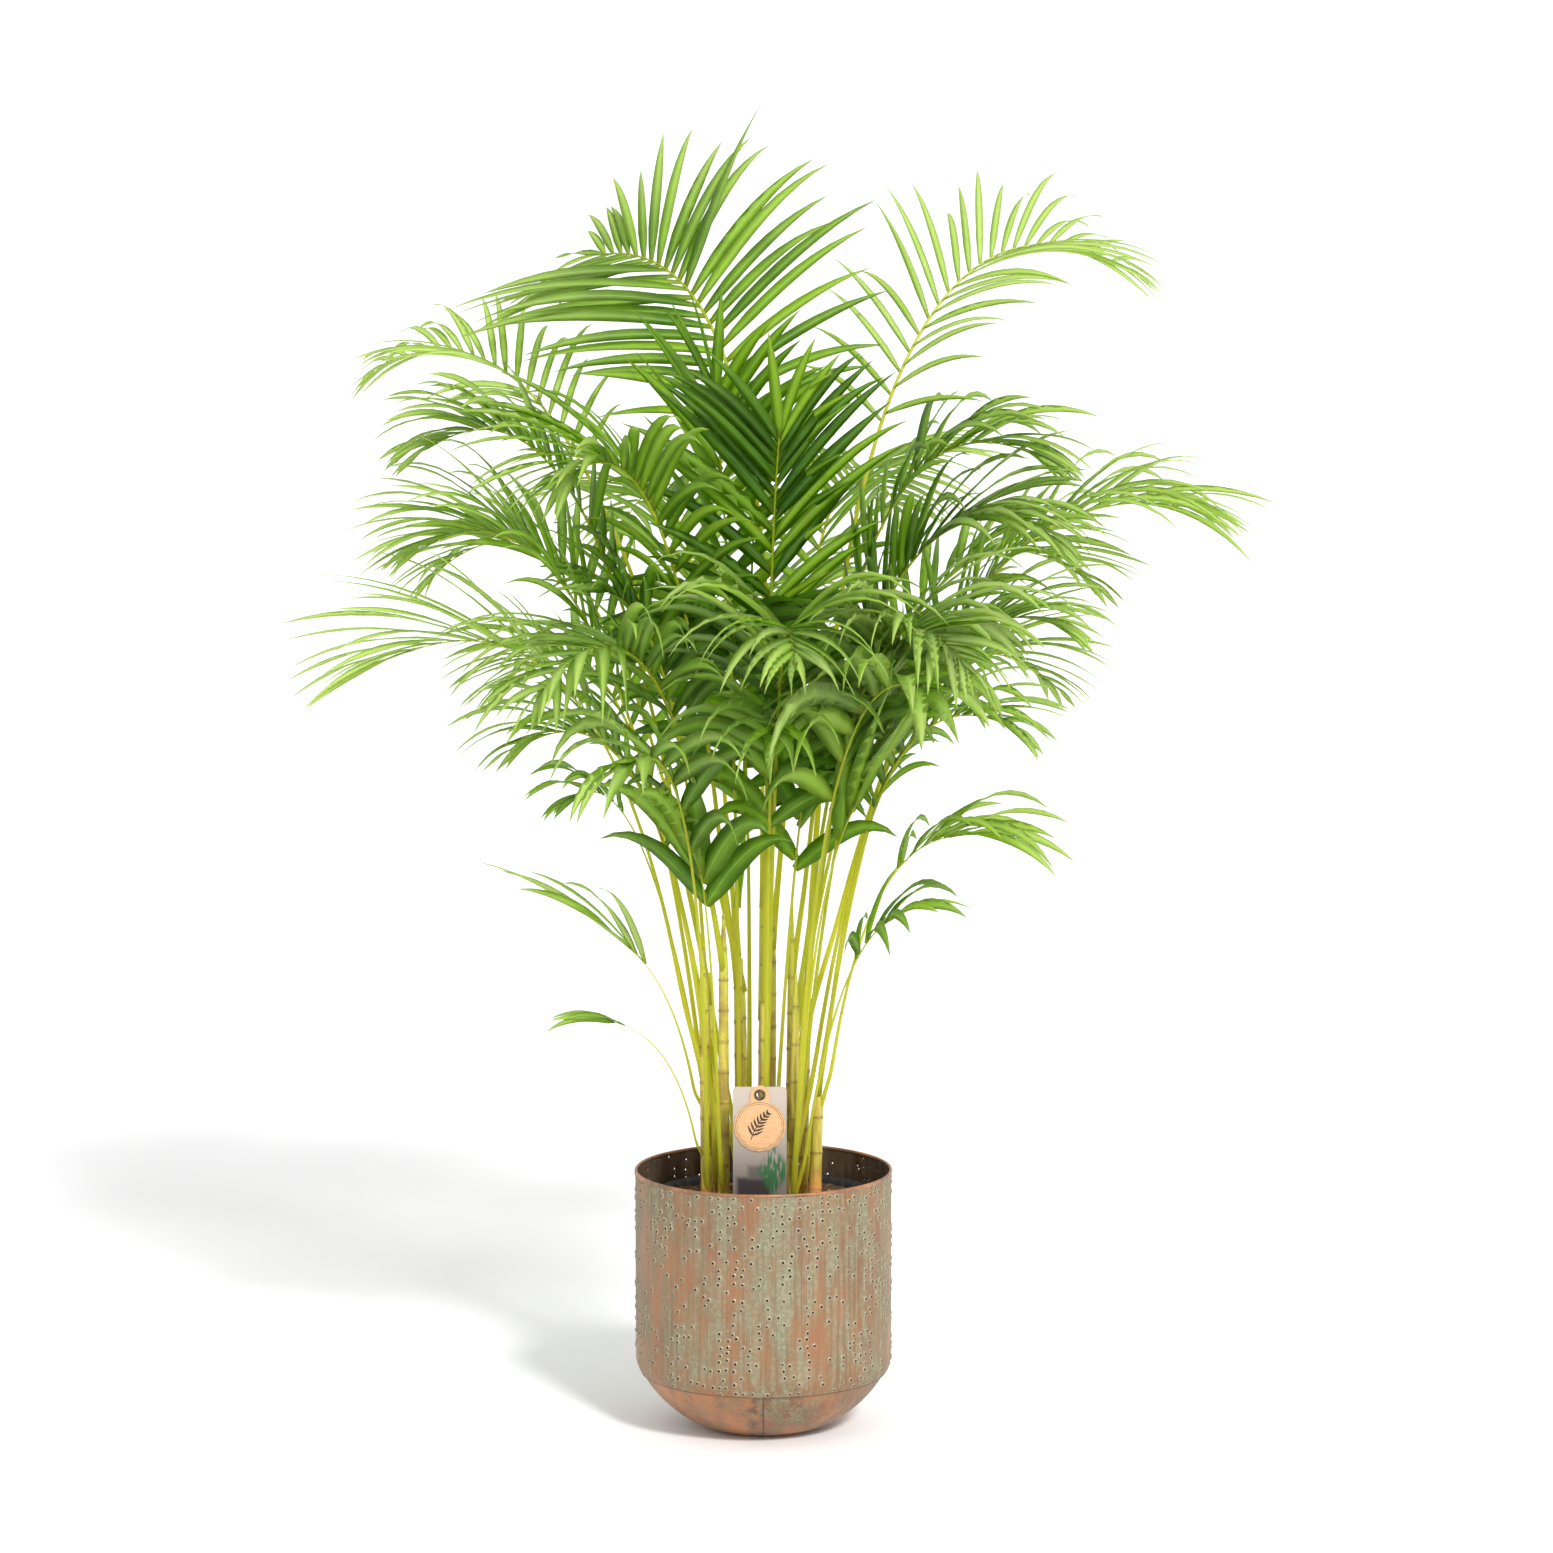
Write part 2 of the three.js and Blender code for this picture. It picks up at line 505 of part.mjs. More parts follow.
// The leaflet's faces outside its foot, which is the four corners of the stalk's side.
function leaflet_faces(list, foot, { rings, tip }) {
  const [first, second] = rings;
  sleeve(list, foot, first);
  sleeve(list, first, second);
  for (let i = 0; i < 4; i += 1) list.push(second[i], second[(i + 1) % 4], tip);
}

function leaflet_solid(foot, blade) {
  const list = [];
  leaflet_faces(list, foot, blade);
  quad(list, foot[3], foot[2], foot[1], foot[0]);
  return solid(from_points(list));
}

// Everything already placed, with its box and centre line, so that a new leaflet can look for room.
const placed = [];

function box_of(points) {
  return new THREE.Box3().setFromPoints(points);
}

function meets(shape, box, owner) {
  return placed.some((other) => {
    if (other.owner === owner || !other.box.intersectsBox(box)) return false;
    const common = shape.intersect(other.shape);
    const empty = common.isEmpty();
    common.delete();
    return !empty;
  });
}

canes.forEach((mesh) => {
  const world = mesh.geometry.clone().applyMatrix4(mesh.matrix);
  world.computeBoundingBox();
  placed.push({ shape: solid(world), box: world.boundingBox, owner: mesh.name });
});

// First every stalk, in short lengths so that their boxes stay small.
const stalks = frond_table.map((row) => {
  const [name, , , , , radius, start, pairs, , , , , , , roll] = row;
  const curve = stalk_curve(row);
  const length = curve.getLength();
  const half_foot = leaf_foot / 2 / length;
  const stops = [0, 1, 2, 3, 4].map((i) => ({ t: (i / 5) * (pairs ? start : 1), pair: -1 }));
  for (let i = 0; i < pairs; i += 1) {
    const t = start + (1 - start) * Math.pow((i + 0.5) / pairs, 0.9);
    stops.push({ t: t - half_foot, pair: i }, { t: t + half_foot, pair: -1 });
  }
  stops.push({ t: 1, pair: -1 });
  stops.forEach((stop) => {
    stop.section = stalk_section(curve, stop.t, radius, roll);
  });
  for (let i = 1; i < stops.length; i += 1) {
    const back = stops[i - 1].section;
    const front = stops[i].section;
    const list = [];
    for (let k = 0; k < 4; k += 1) quad(list, back[k], front[k], front[(k + 1) % 4], back[(k + 1) % 4]);
    quad(list, ...back);
    quad(list, front[3], front[2], front[1], front[0]);
    placed.push({ shape: solid(from_points(list)), box: box_of([...back, ...front]), owner: name + i });
  }
  return { row, curve, stops };
});

// What a leaflet may try, in turn: [degrees of angle, degrees of lift, share of its length].
const tries = [
  [0, 0, 1],
  [5, 6, 1],
  [-5, -6, 1],
  [9, 12, 1],
  [-9, 12, 0.95],
  [7, -12, 0.9],
  [0, 20, 0.85],
  [0, -18, 0.85],
  [12, 28, 0.75],
  [0, 0, 0.6],
  [-12, 30, 0.6],
  [0, 0, 0.42],
];

// The first try that clears everything placed before, or null where there is no room at all.
function find_room(f, hand, shape, foot, owner) {
  for (const change of tries) {
    const fat = leaflet(f, hand, shape, change, clearance);
    const box = box_of([...foot, ...fat.rings.flat(), fat.tip]);
    const room = leaflet_solid(foot, fat);
    const blocked = meets(room, box, owner);
    room.delete();
    if (blocked) continue;
    const blade = leaflet(f, hand, shape, change, 0);
    placed.push({ shape: leaflet_solid(foot, blade), box, owner });
    return { foot, blade };
  }
  return null;
}

function grow_leaflet(stalk, i, hand) {
  const { row, curve, stops } = stalk;
  const [name, , , , , , , pairs, longest, width, end, spread, lift, droop, roll, late] = row;
  const share = (stops[i].pair + 0.5) / pairs;
  const f = stalk_frame(curve, (stops[i].t + stops[i + 1].t) / 2, roll);
  const rising = 0.62 + 0.38 * Math.sin((Math.PI / 2) * Math.pow(share / 0.75, 0.8));
  const falling = 1 - (1 - end) * Math.pow(Math.max(0, share - 0.4) / 0.6, 1.6);
  const size = share < 0.4 ? rising : falling;
  const spacing = ((1 - stops[5].t) * curve.getLength()) / pairs;
  const shape = {
    angle: (66 - 22 * share) * spread,
    lift,
    droop,
    late,
    length: longest * size * leaf_scale,
    width: Math.min(width * leaf_fullness * Math.sqrt(size), spacing * 0.8),
  };
  const back = stops[i].section;
  const front = stops[i + 1].section;
  const foot =
    hand > 0 ? [back[0], front[0], front[1], back[1]] : [back[2], front[2], front[3], back[3]];
  return find_room(f, hand, shape, foot, name + (i + 1));
}

// The leaflet that ends a stalk runs straight on from it, with the stalk's last section as its foot.
function end_leaflet(stalk) {
  const { row, curve, stops } = stalk;
  const [name, , , , , , , , longest, width, end, , , droop, roll, late] = row;
  const f = stalk_frame(curve, 1, roll);
  const ahead = { at: f.at, forwards: f.side.clone().negate(), up: f.up, side: f.forwards };
  const [right_low, right_high, left_high, left_low] = stops[stops.length - 1].section;
  const foot = [right_low, left_low, left_high, right_high];
  const length = longest * end * leaf_scale;
  const shape = { angle: 90, lift: 0, droop, late, length, width: width * 0.6 };
  return find_room(ahead, 1, shape, foot, name + (stops.length - 1));
}

const fronds = branch("fronds");
const leaf_greens = [0x3f7d1c, 0x4f9a26, 0x6fae33, 0x2f6a1e];
stalks.forEach((stalk, n) => {
  const { row, stops } = stalk;
  const leaves = [];
  for (let i = 5; i < stops.length - 1; i += 1) {
    if (stops[i].pair < 0) continue;
    for (const hand of [1, -1]) {
      const grown = grow_leaflet(stalk, i, hand);
      if (grown) leaves.push({ ...grown, i, face: hand > 0 ? 0 : 2 });
    }
  }
  const end = row[7] ? end_leaflet(stalk) : null;
  const list = [];
  quad(list, ...stops[0].section);
  for (let i = 0; i < stops.length - 1; i += 1) {
    const back = stops[i].section;
    const front = stops[i + 1].section;
    for (let k = 0; k < 4; k += 1) {
      const leaf = leaves.find((one) => one.i === i && one.face === k);
      if (leaf) leaflet_faces(list, leaf.foot, leaf.blade);
      else quad(list, back[k], front[k], front[(k + 1) % 4], back[(k + 1) % 4]);
    }
  }
  const last = stops[stops.length - 1].section;
  if (end) leaflet_faces(list, end.foot, end.blade);
  else quad(list, last[3], last[2], last[1], last[0]);
  const look = material(leaf_greens[n % leaf_greens.length], 0.5);
  piece(fronds, "frond_" + row[0], from_points(list), look);
});

placed.forEach((one) => one.shape.delete());

export default group;
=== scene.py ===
# %% [markdown]
# # A potted areca palm
#
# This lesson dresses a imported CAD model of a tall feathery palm. The plant stands in a black nursery pot,
# and that stands in a round-bottomed metal cover with hundreds of nail holes punched through its wall.
# The CAD model fixes every size and place. Here each piece gets the surface that the real one has.
#
# All lengths in the tables are millimetres, because that is how a maker measures a plant pot.
# Blender works in metres, so `MM` turns one into the other.

# %% Load the frame
import json
import math
from collections import namedtuple

import bpy
import numpy as np
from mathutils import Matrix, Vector


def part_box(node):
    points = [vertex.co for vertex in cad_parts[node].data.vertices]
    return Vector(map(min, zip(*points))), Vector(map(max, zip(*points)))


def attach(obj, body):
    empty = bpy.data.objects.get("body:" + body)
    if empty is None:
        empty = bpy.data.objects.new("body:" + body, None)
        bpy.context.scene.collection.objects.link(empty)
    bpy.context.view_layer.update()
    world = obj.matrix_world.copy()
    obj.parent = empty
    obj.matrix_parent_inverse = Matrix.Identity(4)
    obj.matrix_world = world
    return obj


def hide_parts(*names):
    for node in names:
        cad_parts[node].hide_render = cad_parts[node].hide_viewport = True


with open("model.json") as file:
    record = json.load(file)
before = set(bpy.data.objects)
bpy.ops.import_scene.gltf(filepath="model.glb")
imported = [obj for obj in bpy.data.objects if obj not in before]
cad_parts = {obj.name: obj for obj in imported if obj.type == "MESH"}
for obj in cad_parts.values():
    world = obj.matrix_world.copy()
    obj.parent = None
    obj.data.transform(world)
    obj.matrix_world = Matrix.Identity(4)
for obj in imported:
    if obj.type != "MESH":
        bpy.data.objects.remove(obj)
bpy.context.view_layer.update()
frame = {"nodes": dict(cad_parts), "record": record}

MM = 0.001
SLOTS = {part["node"]: part["material_slot"] for part in frame["record"]["subparts"]}

# %% [markdown]
# ## Camera
#
# A long lens far away keeps the pot's walls nearly parallel. The camera looks slightly down, so that the
# pot's rim opens into a narrow ellipse. It is aimed at the middle of the plant.

# %% Make the camera
CAMERA_PITCH = math.radians(8.3)
CAMERA_AWAY = 6.6
CAMERA_LENS = 152
CAMERA_SENSOR = 36
CAMERA_AIM = np.array([0.0133, 0.0, 0.668])

looking = np.array([0, math.cos(CAMERA_PITCH), -math.sin(CAMERA_PITCH)])
camera_data = bpy.data.cameras.new("camera")
camera_data.lens = CAMERA_LENS
camera_data.sensor_width = CAMERA_SENSOR
camera = bpy.data.objects.new("camera", camera_data)
camera.location = CAMERA_AIM - looking * CAMERA_AWAY
camera.rotation_euler = (math.pi / 2 - CAMERA_PITCH, 0, 0)
bpy.context.collection.objects.link(camera)
scene = bpy.context.scene
scene.camera = camera
scene.view_settings.view_transform = "Standard"
print("camera at", [round(v, 2) for v in camera.location])

# %% [markdown]
# ## Mesh helpers
#
# Every surface below is worked out as a whole array of points, and never one point at a time.
# A grid of points needs only its faces listed. The first helpers do that for grids, rods and closed ends,
# and `make_piece` puts points, faces, texture coordinates and values into a Blender mesh.


# %% Faces
def grid_faces(rows, columns, wrap_rows=False, wrap_columns=False):
    """Faces of a grid of rows x columns points. Face (i, j) joins points (i, j), (i, j+1), (i+1, j+1)
    and (i+1, j), and a wrapped direction joins its last point to its first."""
    i = np.arange(rows if wrap_rows else rows - 1)[:, None]
    j = np.arange(columns if wrap_columns else columns - 1)[None, :]
    i_next = (i + 1) % rows
    j_next = (j + 1) % columns
    corners = [i * columns + j, i * columns + j_next, i_next * columns + j_next, i_next * columns + j]
    return np.stack(np.broadcast_arrays(*corners), -1).reshape(-1, 4)


def rod_faces(stations):
    """Faces of a four-sided rod, station after station, with both ends closed."""
    last = (stations - 1) * 4
    ends = [[3, 2, 1, 0], [last, last + 1, last + 2, last + 3]]
    return np.concatenate([grid_faces(stations, 4, False, True), ends])


def fan(middle, ring):
    """Triangles from one middle point to each edge of a closed ring of point numbers."""
    return np.stack([np.full(len(ring), middle), ring, np.roll(ring, -1)], 1)


def repeat_faces(faces, count, points_each):
    """The faces of one small shape, listed again for each of count copies of it."""
    return (np.arange(count)[:, None, None] * points_each + faces).reshape(-1, 4)


def join(surfaces):
    """Several (points, faces) surfaces as one: the faces of each count on from the points before it."""
    starts = np.cumsum([0] + [len(points) for points, _ in surfaces])
    faces = [faces + start for (_, faces), start in zip(surfaces, starts)]
    return np.concatenate([points for points, _ in surfaces]), np.concatenate(faces)


print("faces of a 3 x 4 grid:", len(grid_faces(3, 4)), "open,", len(grid_faces(3, 4, True, True)), "closed")


# %% Pieces
def make_piece(name, points, faces, uv=None, values=None, sharp=math.radians(50), triangles=None):
    """A mesh object from points (n, 3) in metres and faces (m, 4), with optional triangles (k, 3).
    uv gives two numbers a point, and values is a dict of one number a point for the materials to read."""
    points = np.asarray(points, float).reshape(-1, 3)
    faces = np.asarray(faces, int).reshape(-1, 4)
    triangles = np.zeros((0, 3), int) if triangles is None else np.asarray(triangles, int).reshape(-1, 3)
    corners = np.concatenate([faces.ravel(), triangles.ravel()])
    starts = np.concatenate([np.arange(len(faces)) * 4, len(faces) * 4 + np.arange(len(triangles)) * 3])
    mesh = bpy.data.meshes.new(name)
    mesh.vertices.add(len(points))
    mesh.vertices.foreach_set("co", points.ravel())
    mesh.loops.add(len(corners))
    mesh.loops.foreach_set("vertex_index", corners)
    mesh.polygons.add(len(starts))
    mesh.polygons.foreach_set("loop_start", starts)
    mesh.update(calc_edges=True)
    mesh.polygons.foreach_set("use_smooth", np.ones(len(starts), bool))
    if uv is not None:
        layer = mesh.uv_layers.new(name="surface")
        layer.data.foreach_set("uv", np.asarray(uv, float).reshape(-1, 2)[corners].ravel())
    for key, numbers in (values or {}).items():
        attribute = mesh.attributes.new(key, "FLOAT", "POINT")
        attribute.data.foreach_set("value", np.asarray(numbers, float).ravel())
    if sharp is not None:
        mesh.set_sharp_from_angle(angle=sharp)
    mesh.validate()
    piece = bpy.data.objects.new(name, mesh)
    bpy.context.collection.objects.link(piece)
    return piece


def place(piece, node, material):
    """Puts the material on a piece that stands for one CAD node, and hands it to the frame."""
    piece.data.materials.append(material)
    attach(piece, "root")
    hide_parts(node)
    print(piece.name, len(piece.data.polygons), "faces")


def node_box(node):
    """A CAD node's lowest and highest corners in mm."""
    low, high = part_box(node)
    return np.array(low) / MM, np.array(high) / MM


print("lowest and highest corner of the pot's wall:", *node_box("pot_wall"))

# %% Shapes
NOISE_CELLS = 64  # soft noise repeats after this many of its cells


def around(count):
    """That many angles, evenly round a full turn."""
    return np.linspace(0, 2 * np.pi, count, endpoint=False)


def unit(v):
    """Vectors of length one."""
    return v / np.maximum(np.linalg.norm(v, axis=-1, keepdims=True), 1e-12)


def smooth_step(x, low, high):
    """0 below low, 1 above high, and a smooth rise between them."""
    s = np.clip((x - low) / (high - low), 0, 1)
    return s * s * (3 - 2 * s)


def soft_noise(x, y, cell, seed):
    """Smooth random heights from -1 to 1: random values on a lattice of that cell size, blended between."""
    table = np.random.default_rng(seed).uniform(-1, 1, (NOISE_CELLS, NOISE_CELLS))
    u, v = x / cell, y / cell
    i, j = np.floor(u).astype(int), np.floor(v).astype(int)
    right, up = smooth_step(u - i, 0, 1), smooth_step(v - j, 0, 1)
    i_next, j_next = (i + 1) % NOISE_CELLS, (j + 1) % NOISE_CELLS
    i, j = i % NOISE_CELLS, j % NOISE_CELLS
    low = table[i, j] * (1 - right) + table[i_next, j] * right
    high = table[i, j_next] * (1 - right) + table[i_next, j_next] * right
    return low * (1 - up) + high * up


def turned(profile, sides):
    """A closed loop of [radius, height] points turned about Z: x = r cos a, y = r sin a, z = h."""
    profile = np.asarray(profile, float)
    a = around(sides)[:, None]
    r, z = profile[None, :, 0], profile[None, :, 1]
    points = np.stack([r * np.cos(a), r * np.sin(a), z + 0 * a], -1)
    return points, grid_faces(sides, len(profile), True, True)


def bent_line(t, start, knee, end):
    """A curve drawn towards a knee: (1 - t)^2 start + 2 t (1 - t) knee + t^2 end."""
    return (1 - t) ** 2 * start + 2 * t * (1 - t) * knee + t**2 * end


print("soft noise half way along a cell:", round(float(soft_noise(np.array(0.5), np.array(0.0), 1, 1)), 3))

# %% [markdown]
# ## Small tools for materials
#
# A material is a little network of nodes. These helpers add a node, join it up and set its values in one
# line each, so that the finishes further down read as recipes.


# %% Node helpers
def feed(tree, socket, value):
    """Joins another socket to this one, or sets its value. A colour is given as red, green and blue."""
    if isinstance(value, bpy.types.NodeSocket):
        tree.links.new(value, socket)
    elif socket.type == "RGBA":
        socket.default_value = (*value, 1)
    else:
        socket.default_value = value


def add(tree, kind, inputs=None, **settings):
    """A new node of that kind. inputs maps a socket's name or number to a value or another socket."""
    node = tree.nodes.new(kind)
    for key, value in settings.items():
        setattr(node, key, value)
    for key, value in (inputs or {}).items():
        feed(tree, node.inputs[key], value)
    return node


def maths(tree, operation, a, b=0.5, clamp=False):
    """One arithmetic step on sockets or numbers."""
    return add(tree, "ShaderNodeMath", {0: a, 1: b}, operation=operation, use_clamp=clamp).outputs[0]


def times(tree, a, b):
    """The product of two sockets or numbers."""
    return maths(tree, "MULTIPLY", a, b)


def away_from(tree, value, middle):
    """How far a value is from a middle, on either side."""
    return maths(tree, "ABSOLUTE", maths(tree, "SUBTRACT", value, middle))


def total(tree, *terms):
    """The sum of (value, weight) terms. A third number in a term is taken off its value first."""
    result = None
    for value, weight, *middle in terms:
        if middle:
            value = maths(tree, "SUBTRACT", value, middle[0])
        term = times(tree, value, weight)
        result = term if result is None else maths(tree, "ADD", result, term)
    return result


def ramp(tree, value, low, high, start=0.0, end=1.0):
    """A smooth change from start to end while value goes from low to high."""
    inputs = {0: value, 1: low, 2: high, 3: start, 4: end}
    return add(tree, "ShaderNodeMapRange", inputs, interpolation_type="SMOOTHSTEP").outputs[0]


def blend_colours(tree, share, first, second):
    """A colour between first and second."""
    return add(tree, "ShaderNodeMix", {0: share, 6: first, 7: second}, data_type="RGBA").outputs[2]


print("arithmetic helpers ready")


# %% Pattern helpers
def object_place(tree):
    """The place on the piece, in metres, as the frame measures it."""
    return add(tree, "ShaderNodeTexCoord").outputs["Object"]


def split(tree, vector):
    """The three numbers of a vector."""
    return add(tree, "ShaderNodeSeparateXYZ", {0: vector}).outputs


def stretch(tree, where, scale, rotation=(0, 0, 0)):
    """A place scaled and turned. A small scale draws a pattern out along that axis."""
    inputs = {"Vector": where, "Scale": scale, "Rotation": rotation}
    return add(tree, "ShaderNodeMapping", inputs).outputs[0]


def noise(tree, where, scale, detail, **more):
    """Cloudy noise round 0.5: scale is how many clouds a metre holds, and detail how rough they are."""
    inputs = {"Vector": where, "Scale": scale, "Detail": detail, **more}
    return add(tree, "ShaderNodeTexNoise", inputs).outputs[0]


def point_value(tree, name):
    """The number that make_piece stored at each point under that name."""
    return add(tree, "ShaderNodeAttribute", attribute_name=name).outputs["Fac"]


print("pattern helpers ready")


# %% Finish helpers
def new_group(name, inputs, outputs):
    """A node group. inputs are (name, kind, default), outputs are (name, kind), kind is Float or Color."""
    group = bpy.data.node_groups.new(name, "ShaderNodeTree")
    for label, kind, default in inputs:
        socket = group.interface.new_socket(label, in_out="INPUT", socket_type="NodeSocket" + kind)
        socket.default_value = (*default, 1) if kind == "Color" else default
    for label, kind in outputs:
        group.interface.new_socket(label, in_out="OUTPUT", socket_type="NodeSocket" + kind)
    return group, group.nodes.new("NodeGroupInput").outputs, group.nodes.new("NodeGroupOutput").inputs


def use_group(tree, group, inputs):
    """The group placed in a material, with its own values."""
    return add(tree, "ShaderNodeGroup", inputs, node_tree=group).outputs


def new_finish(name, **constants):
    """A material with a Principled BSDF, and the values that are the same all over."""
    material = bpy.data.materials.new(name)
    material.use_nodes = True
    shader = material.node_tree.nodes["Principled BSDF"]
    for key, value in constants.items():
        shader.inputs[key.replace("_", " ").title().replace("Ior", "IOR")].default_value = value
    return material, material.node_tree, shader


def paint(tree, shader, colour, roughness=None, metallic=None):
    """Joins what changes over the surface to the shader."""
    for key, socket in (("Base Color", colour), ("Roughness", roughness), ("Metallic", metallic)):
        if socket is not None:
            tree.links.new(socket, shader.inputs[key])


def bump(tree, shader, height, strength, distance):
    """Fine relief: a Bump node that feeds the shader's normal."""
    node = add(tree, "ShaderNodeBump", {"Height": height, "Strength": strength, "Distance": distance})
    tree.links.new(node.outputs[0], shader.inputs["Normal"])


print("finish helpers ready")

# %% [markdown]
# ## Floor and light
#
# A pale seamless floor and soft light from all round show a plant best: leaves are thin and let light
# through, so light from behind makes them glow. One sun shines from the front right, a little less than
# half way up the sky, and throws the plant's soft shadow back to the left.

# %% Floor
FLOOR_RADIUS = 90.0
FLOOR_RINGS, FLOOR_SPOKES = 24, 64
FLOOR_LEVEL = -0.0002  # a hair under the pot, so that the two never share a plane

reach = np.geomspace(0.02, FLOOR_RADIUS, FLOOR_RINGS)[:, None]
spoke = around(FLOOR_SPOKES)
level = np.full((FLOOR_RINGS, FLOOR_SPOKES), FLOOR_LEVEL)
floor_points = np.stack([reach * np.cos(spoke), reach * np.sin(spoke), level], -1).reshape(-1, 3)
floor_faces = grid_faces(FLOOR_RINGS, FLOOR_SPOKES, False, True)[:, ::-1]
hub = fan(len(floor_points), np.arange(FLOOR_SPOKES))
floor = make_piece("floor", np.append(floor_points, [[0, 0, FLOOR_LEVEL]], 0), floor_faces, triangles=hub)
floor_finish, _, _ = new_finish("floor_paper", base_color=(0.93, 0.93, 0.93, 1), roughness=0.9)
floor.data.materials.append(floor_finish)
print("floor", FLOOR_RADIUS, "m")

# %% Lights
SKY_STRENGTH = 0.9
SUN_FROM = Vector((2.0, -4.2, 3.6))
SUN_STRENGTH = 2.6
SUN_WIDTH = math.radians(9)  # a wide sun has soft shadows

world = bpy.data.worlds.new("studio")
world.use_nodes = True
world.node_tree.nodes["Background"].inputs["Color"].default_value = (1, 1, 1, 1)
world.node_tree.nodes["Background"].inputs["Strength"].default_value = SKY_STRENGTH
scene.world = world
key_light = bpy.data.lights.new("key_light", "SUN")
key_light.energy = SUN_STRENGTH
key_light.angle = SUN_WIDTH
key_lamp = bpy.data.objects.new("key_lamp", key_light)
key_lamp.rotation_euler = (-SUN_FROM).to_track_quat("-Z", "Y").to_euler()
bpy.context.collection.objects.link(key_lamp)
print("sky", SKY_STRENGTH, "sun", SUN_STRENGTH)

# %% [markdown]
# ## The pot cover
#
# The cover is sheet metal with a copper finish that was aged by hand: grey-green verdigris runs down it in
# brushed streaks. Nails were punched through the wall from inside, and each one left a small raised crater
# with a hole. Because light falls through the holes, they are real holes here and not a painted pattern.
#
# The wall is unrolled into a sheet of cells. A punched cell holds rings of eight points that climb from the
# flat sheet to the crater's lip and go down through the hole; an unpunched cell is left flat. Then the
# sheet is rolled up to the pot's radius.

# %% Pot sizes
POT_RADIUS = 130.0
SEAM_HEIGHT, POT_HEIGHT = (corner[2] for corner in node_box("pot_wall"))
FOOT_RADIUS = 50.0
BOWL_HEIGHT = 72.0
BOWL_CURVE = 1.5
SHEET = 1.2
LAP_STEP = SHEET + 0.35
RIM_THICKNESS = 3.4


def pot_radius(z):
    """Outside radius at a height in mm: a superellipse up to the bowl's height, then upright."""
    up = np.clip(z / BOWL_HEIGHT, 0, 1)
    bend = (1 - (1 - up) ** BOWL_CURVE) ** (1 / BOWL_CURVE)
    return FOOT_RADIUS + LAP_STEP + (POT_RADIUS - FOOT_RADIUS - LAP_STEP) * bend


print("pot", POT_RADIUS * 2, "x", round(POT_HEIGHT), "mm, seam at", round(SEAM_HEIGHT))

# %% The unrolled sheet
CELLS_ROUND, CELLS_UP = 100, 26
CELL_WIDTH = 2 * np.pi * POT_RADIUS / CELLS_ROUND
CELL_HEIGHT = (POT_HEIGHT - RIM_THICKNESS / 2 - SEAM_HEIGHT) / CELLS_UP
WARP = 3.4  # mm that the lattice is pushed to break its rows
HELD_BAND = 12  # mm over which the push fades in from an edge
HELD_TOP = 2  # mm at the top that stay unpushed


def warped(along, z):
    """The lattice pushed about by smooth noise, so that its rows do not show. The push fades out at the
    sheet's upper and lower edges, and the noise repeats once round the pot."""
    cell = 2 * np.pi * POT_RADIUS / NOISE_CELLS
    held = smooth_step(z, SEAM_HEIGHT, SEAM_HEIGHT + HELD_BAND)
    held = held * smooth_step(POT_HEIGHT - z, HELD_TOP, HELD_TOP + HELD_BAND)
    push = [WARP * held * soft_noise(along, z, cell, seed) for seed in (31, 32)]
    return along + push[0], z + push[1]


def roll_up(along, z, height):
    """Points of the flat sheet rolled to the pot: the angle is along / R, the radius the pot's + height."""
    angle = along / POT_RADIUS
    radius = pot_radius(z) + height
    return np.stack([radius * np.cos(angle), radius * np.sin(angle), z + 0 * radius], -1) * MM


def lattice(right, up, rows, height):
    """Warped and rolled lattice points, moved by shares of a cell to the right and up."""
    i, j = np.meshgrid(np.arange(CELLS_ROUND), np.arange(rows), indexing="ij")
    return roll_up(*warped((i + right) * CELL_WIDTH, SEAM_HEIGHT + (j + up) * CELL_HEIGHT), height)


def cell_loops(corner, flat, upright):
    """Numbers of the eight points round each cell, anticlockwise from its lower left corner. The three
    arguments number the first corner, the first middle of a flat edge and that of an upright edge."""
    i, j = np.meshgrid(np.arange(CELLS_ROUND), np.arange(CELLS_UP), indexing="ij")
    i_next = (i + 1) % CELLS_ROUND
    here, there = i * (CELLS_UP + 1) + j, i_next * (CELLS_UP + 1) + j
    left, right = i * CELLS_UP + j, i_next * CELLS_UP + j
    lower = [corner + here, flat + here, corner + there, upright + right]
    upper = [corner + there + 1, flat + here + 1, corner + here + 1, upright + left]
    return np.stack(lower + upper, -1).reshape(-1, 8)


print("cells of", round(CELL_WIDTH, 1), "x", round(CELL_HEIGHT, 1), "mm")

# %% Craters
PUNCHED_SHARE = 0.36
PUNCH_MISS = 0.8  # mm that a nail may land beside the middle of its cell
CRATER_SIZES = (0.82, 1.08)
RING_POINTS = 8  # they face the eight points round the cell, from its lower left corner
HOLE_RADIUS = 1.15
# Rings of a crater: distance from its middle, height over the sheet, how much painted highlight it gets, how
# far inside it is, which is painted as shade.
CRATER_RINGS = np.array(
    [
        (2.8, 0.0, 0.2, 0.0),
        (1.9, 0.75, 1.0, 0.0),
        (HOLE_RADIUS, 0.95, 0.6, 0.75),
        (HOLE_RADIUS * 0.9, 0.1, 0.0, 1.0),
        (2.0, -SHEET + 0.25, 0.0, 1.0),
        (2.8, -SHEET, 0.0, 1.0),
    ]
)


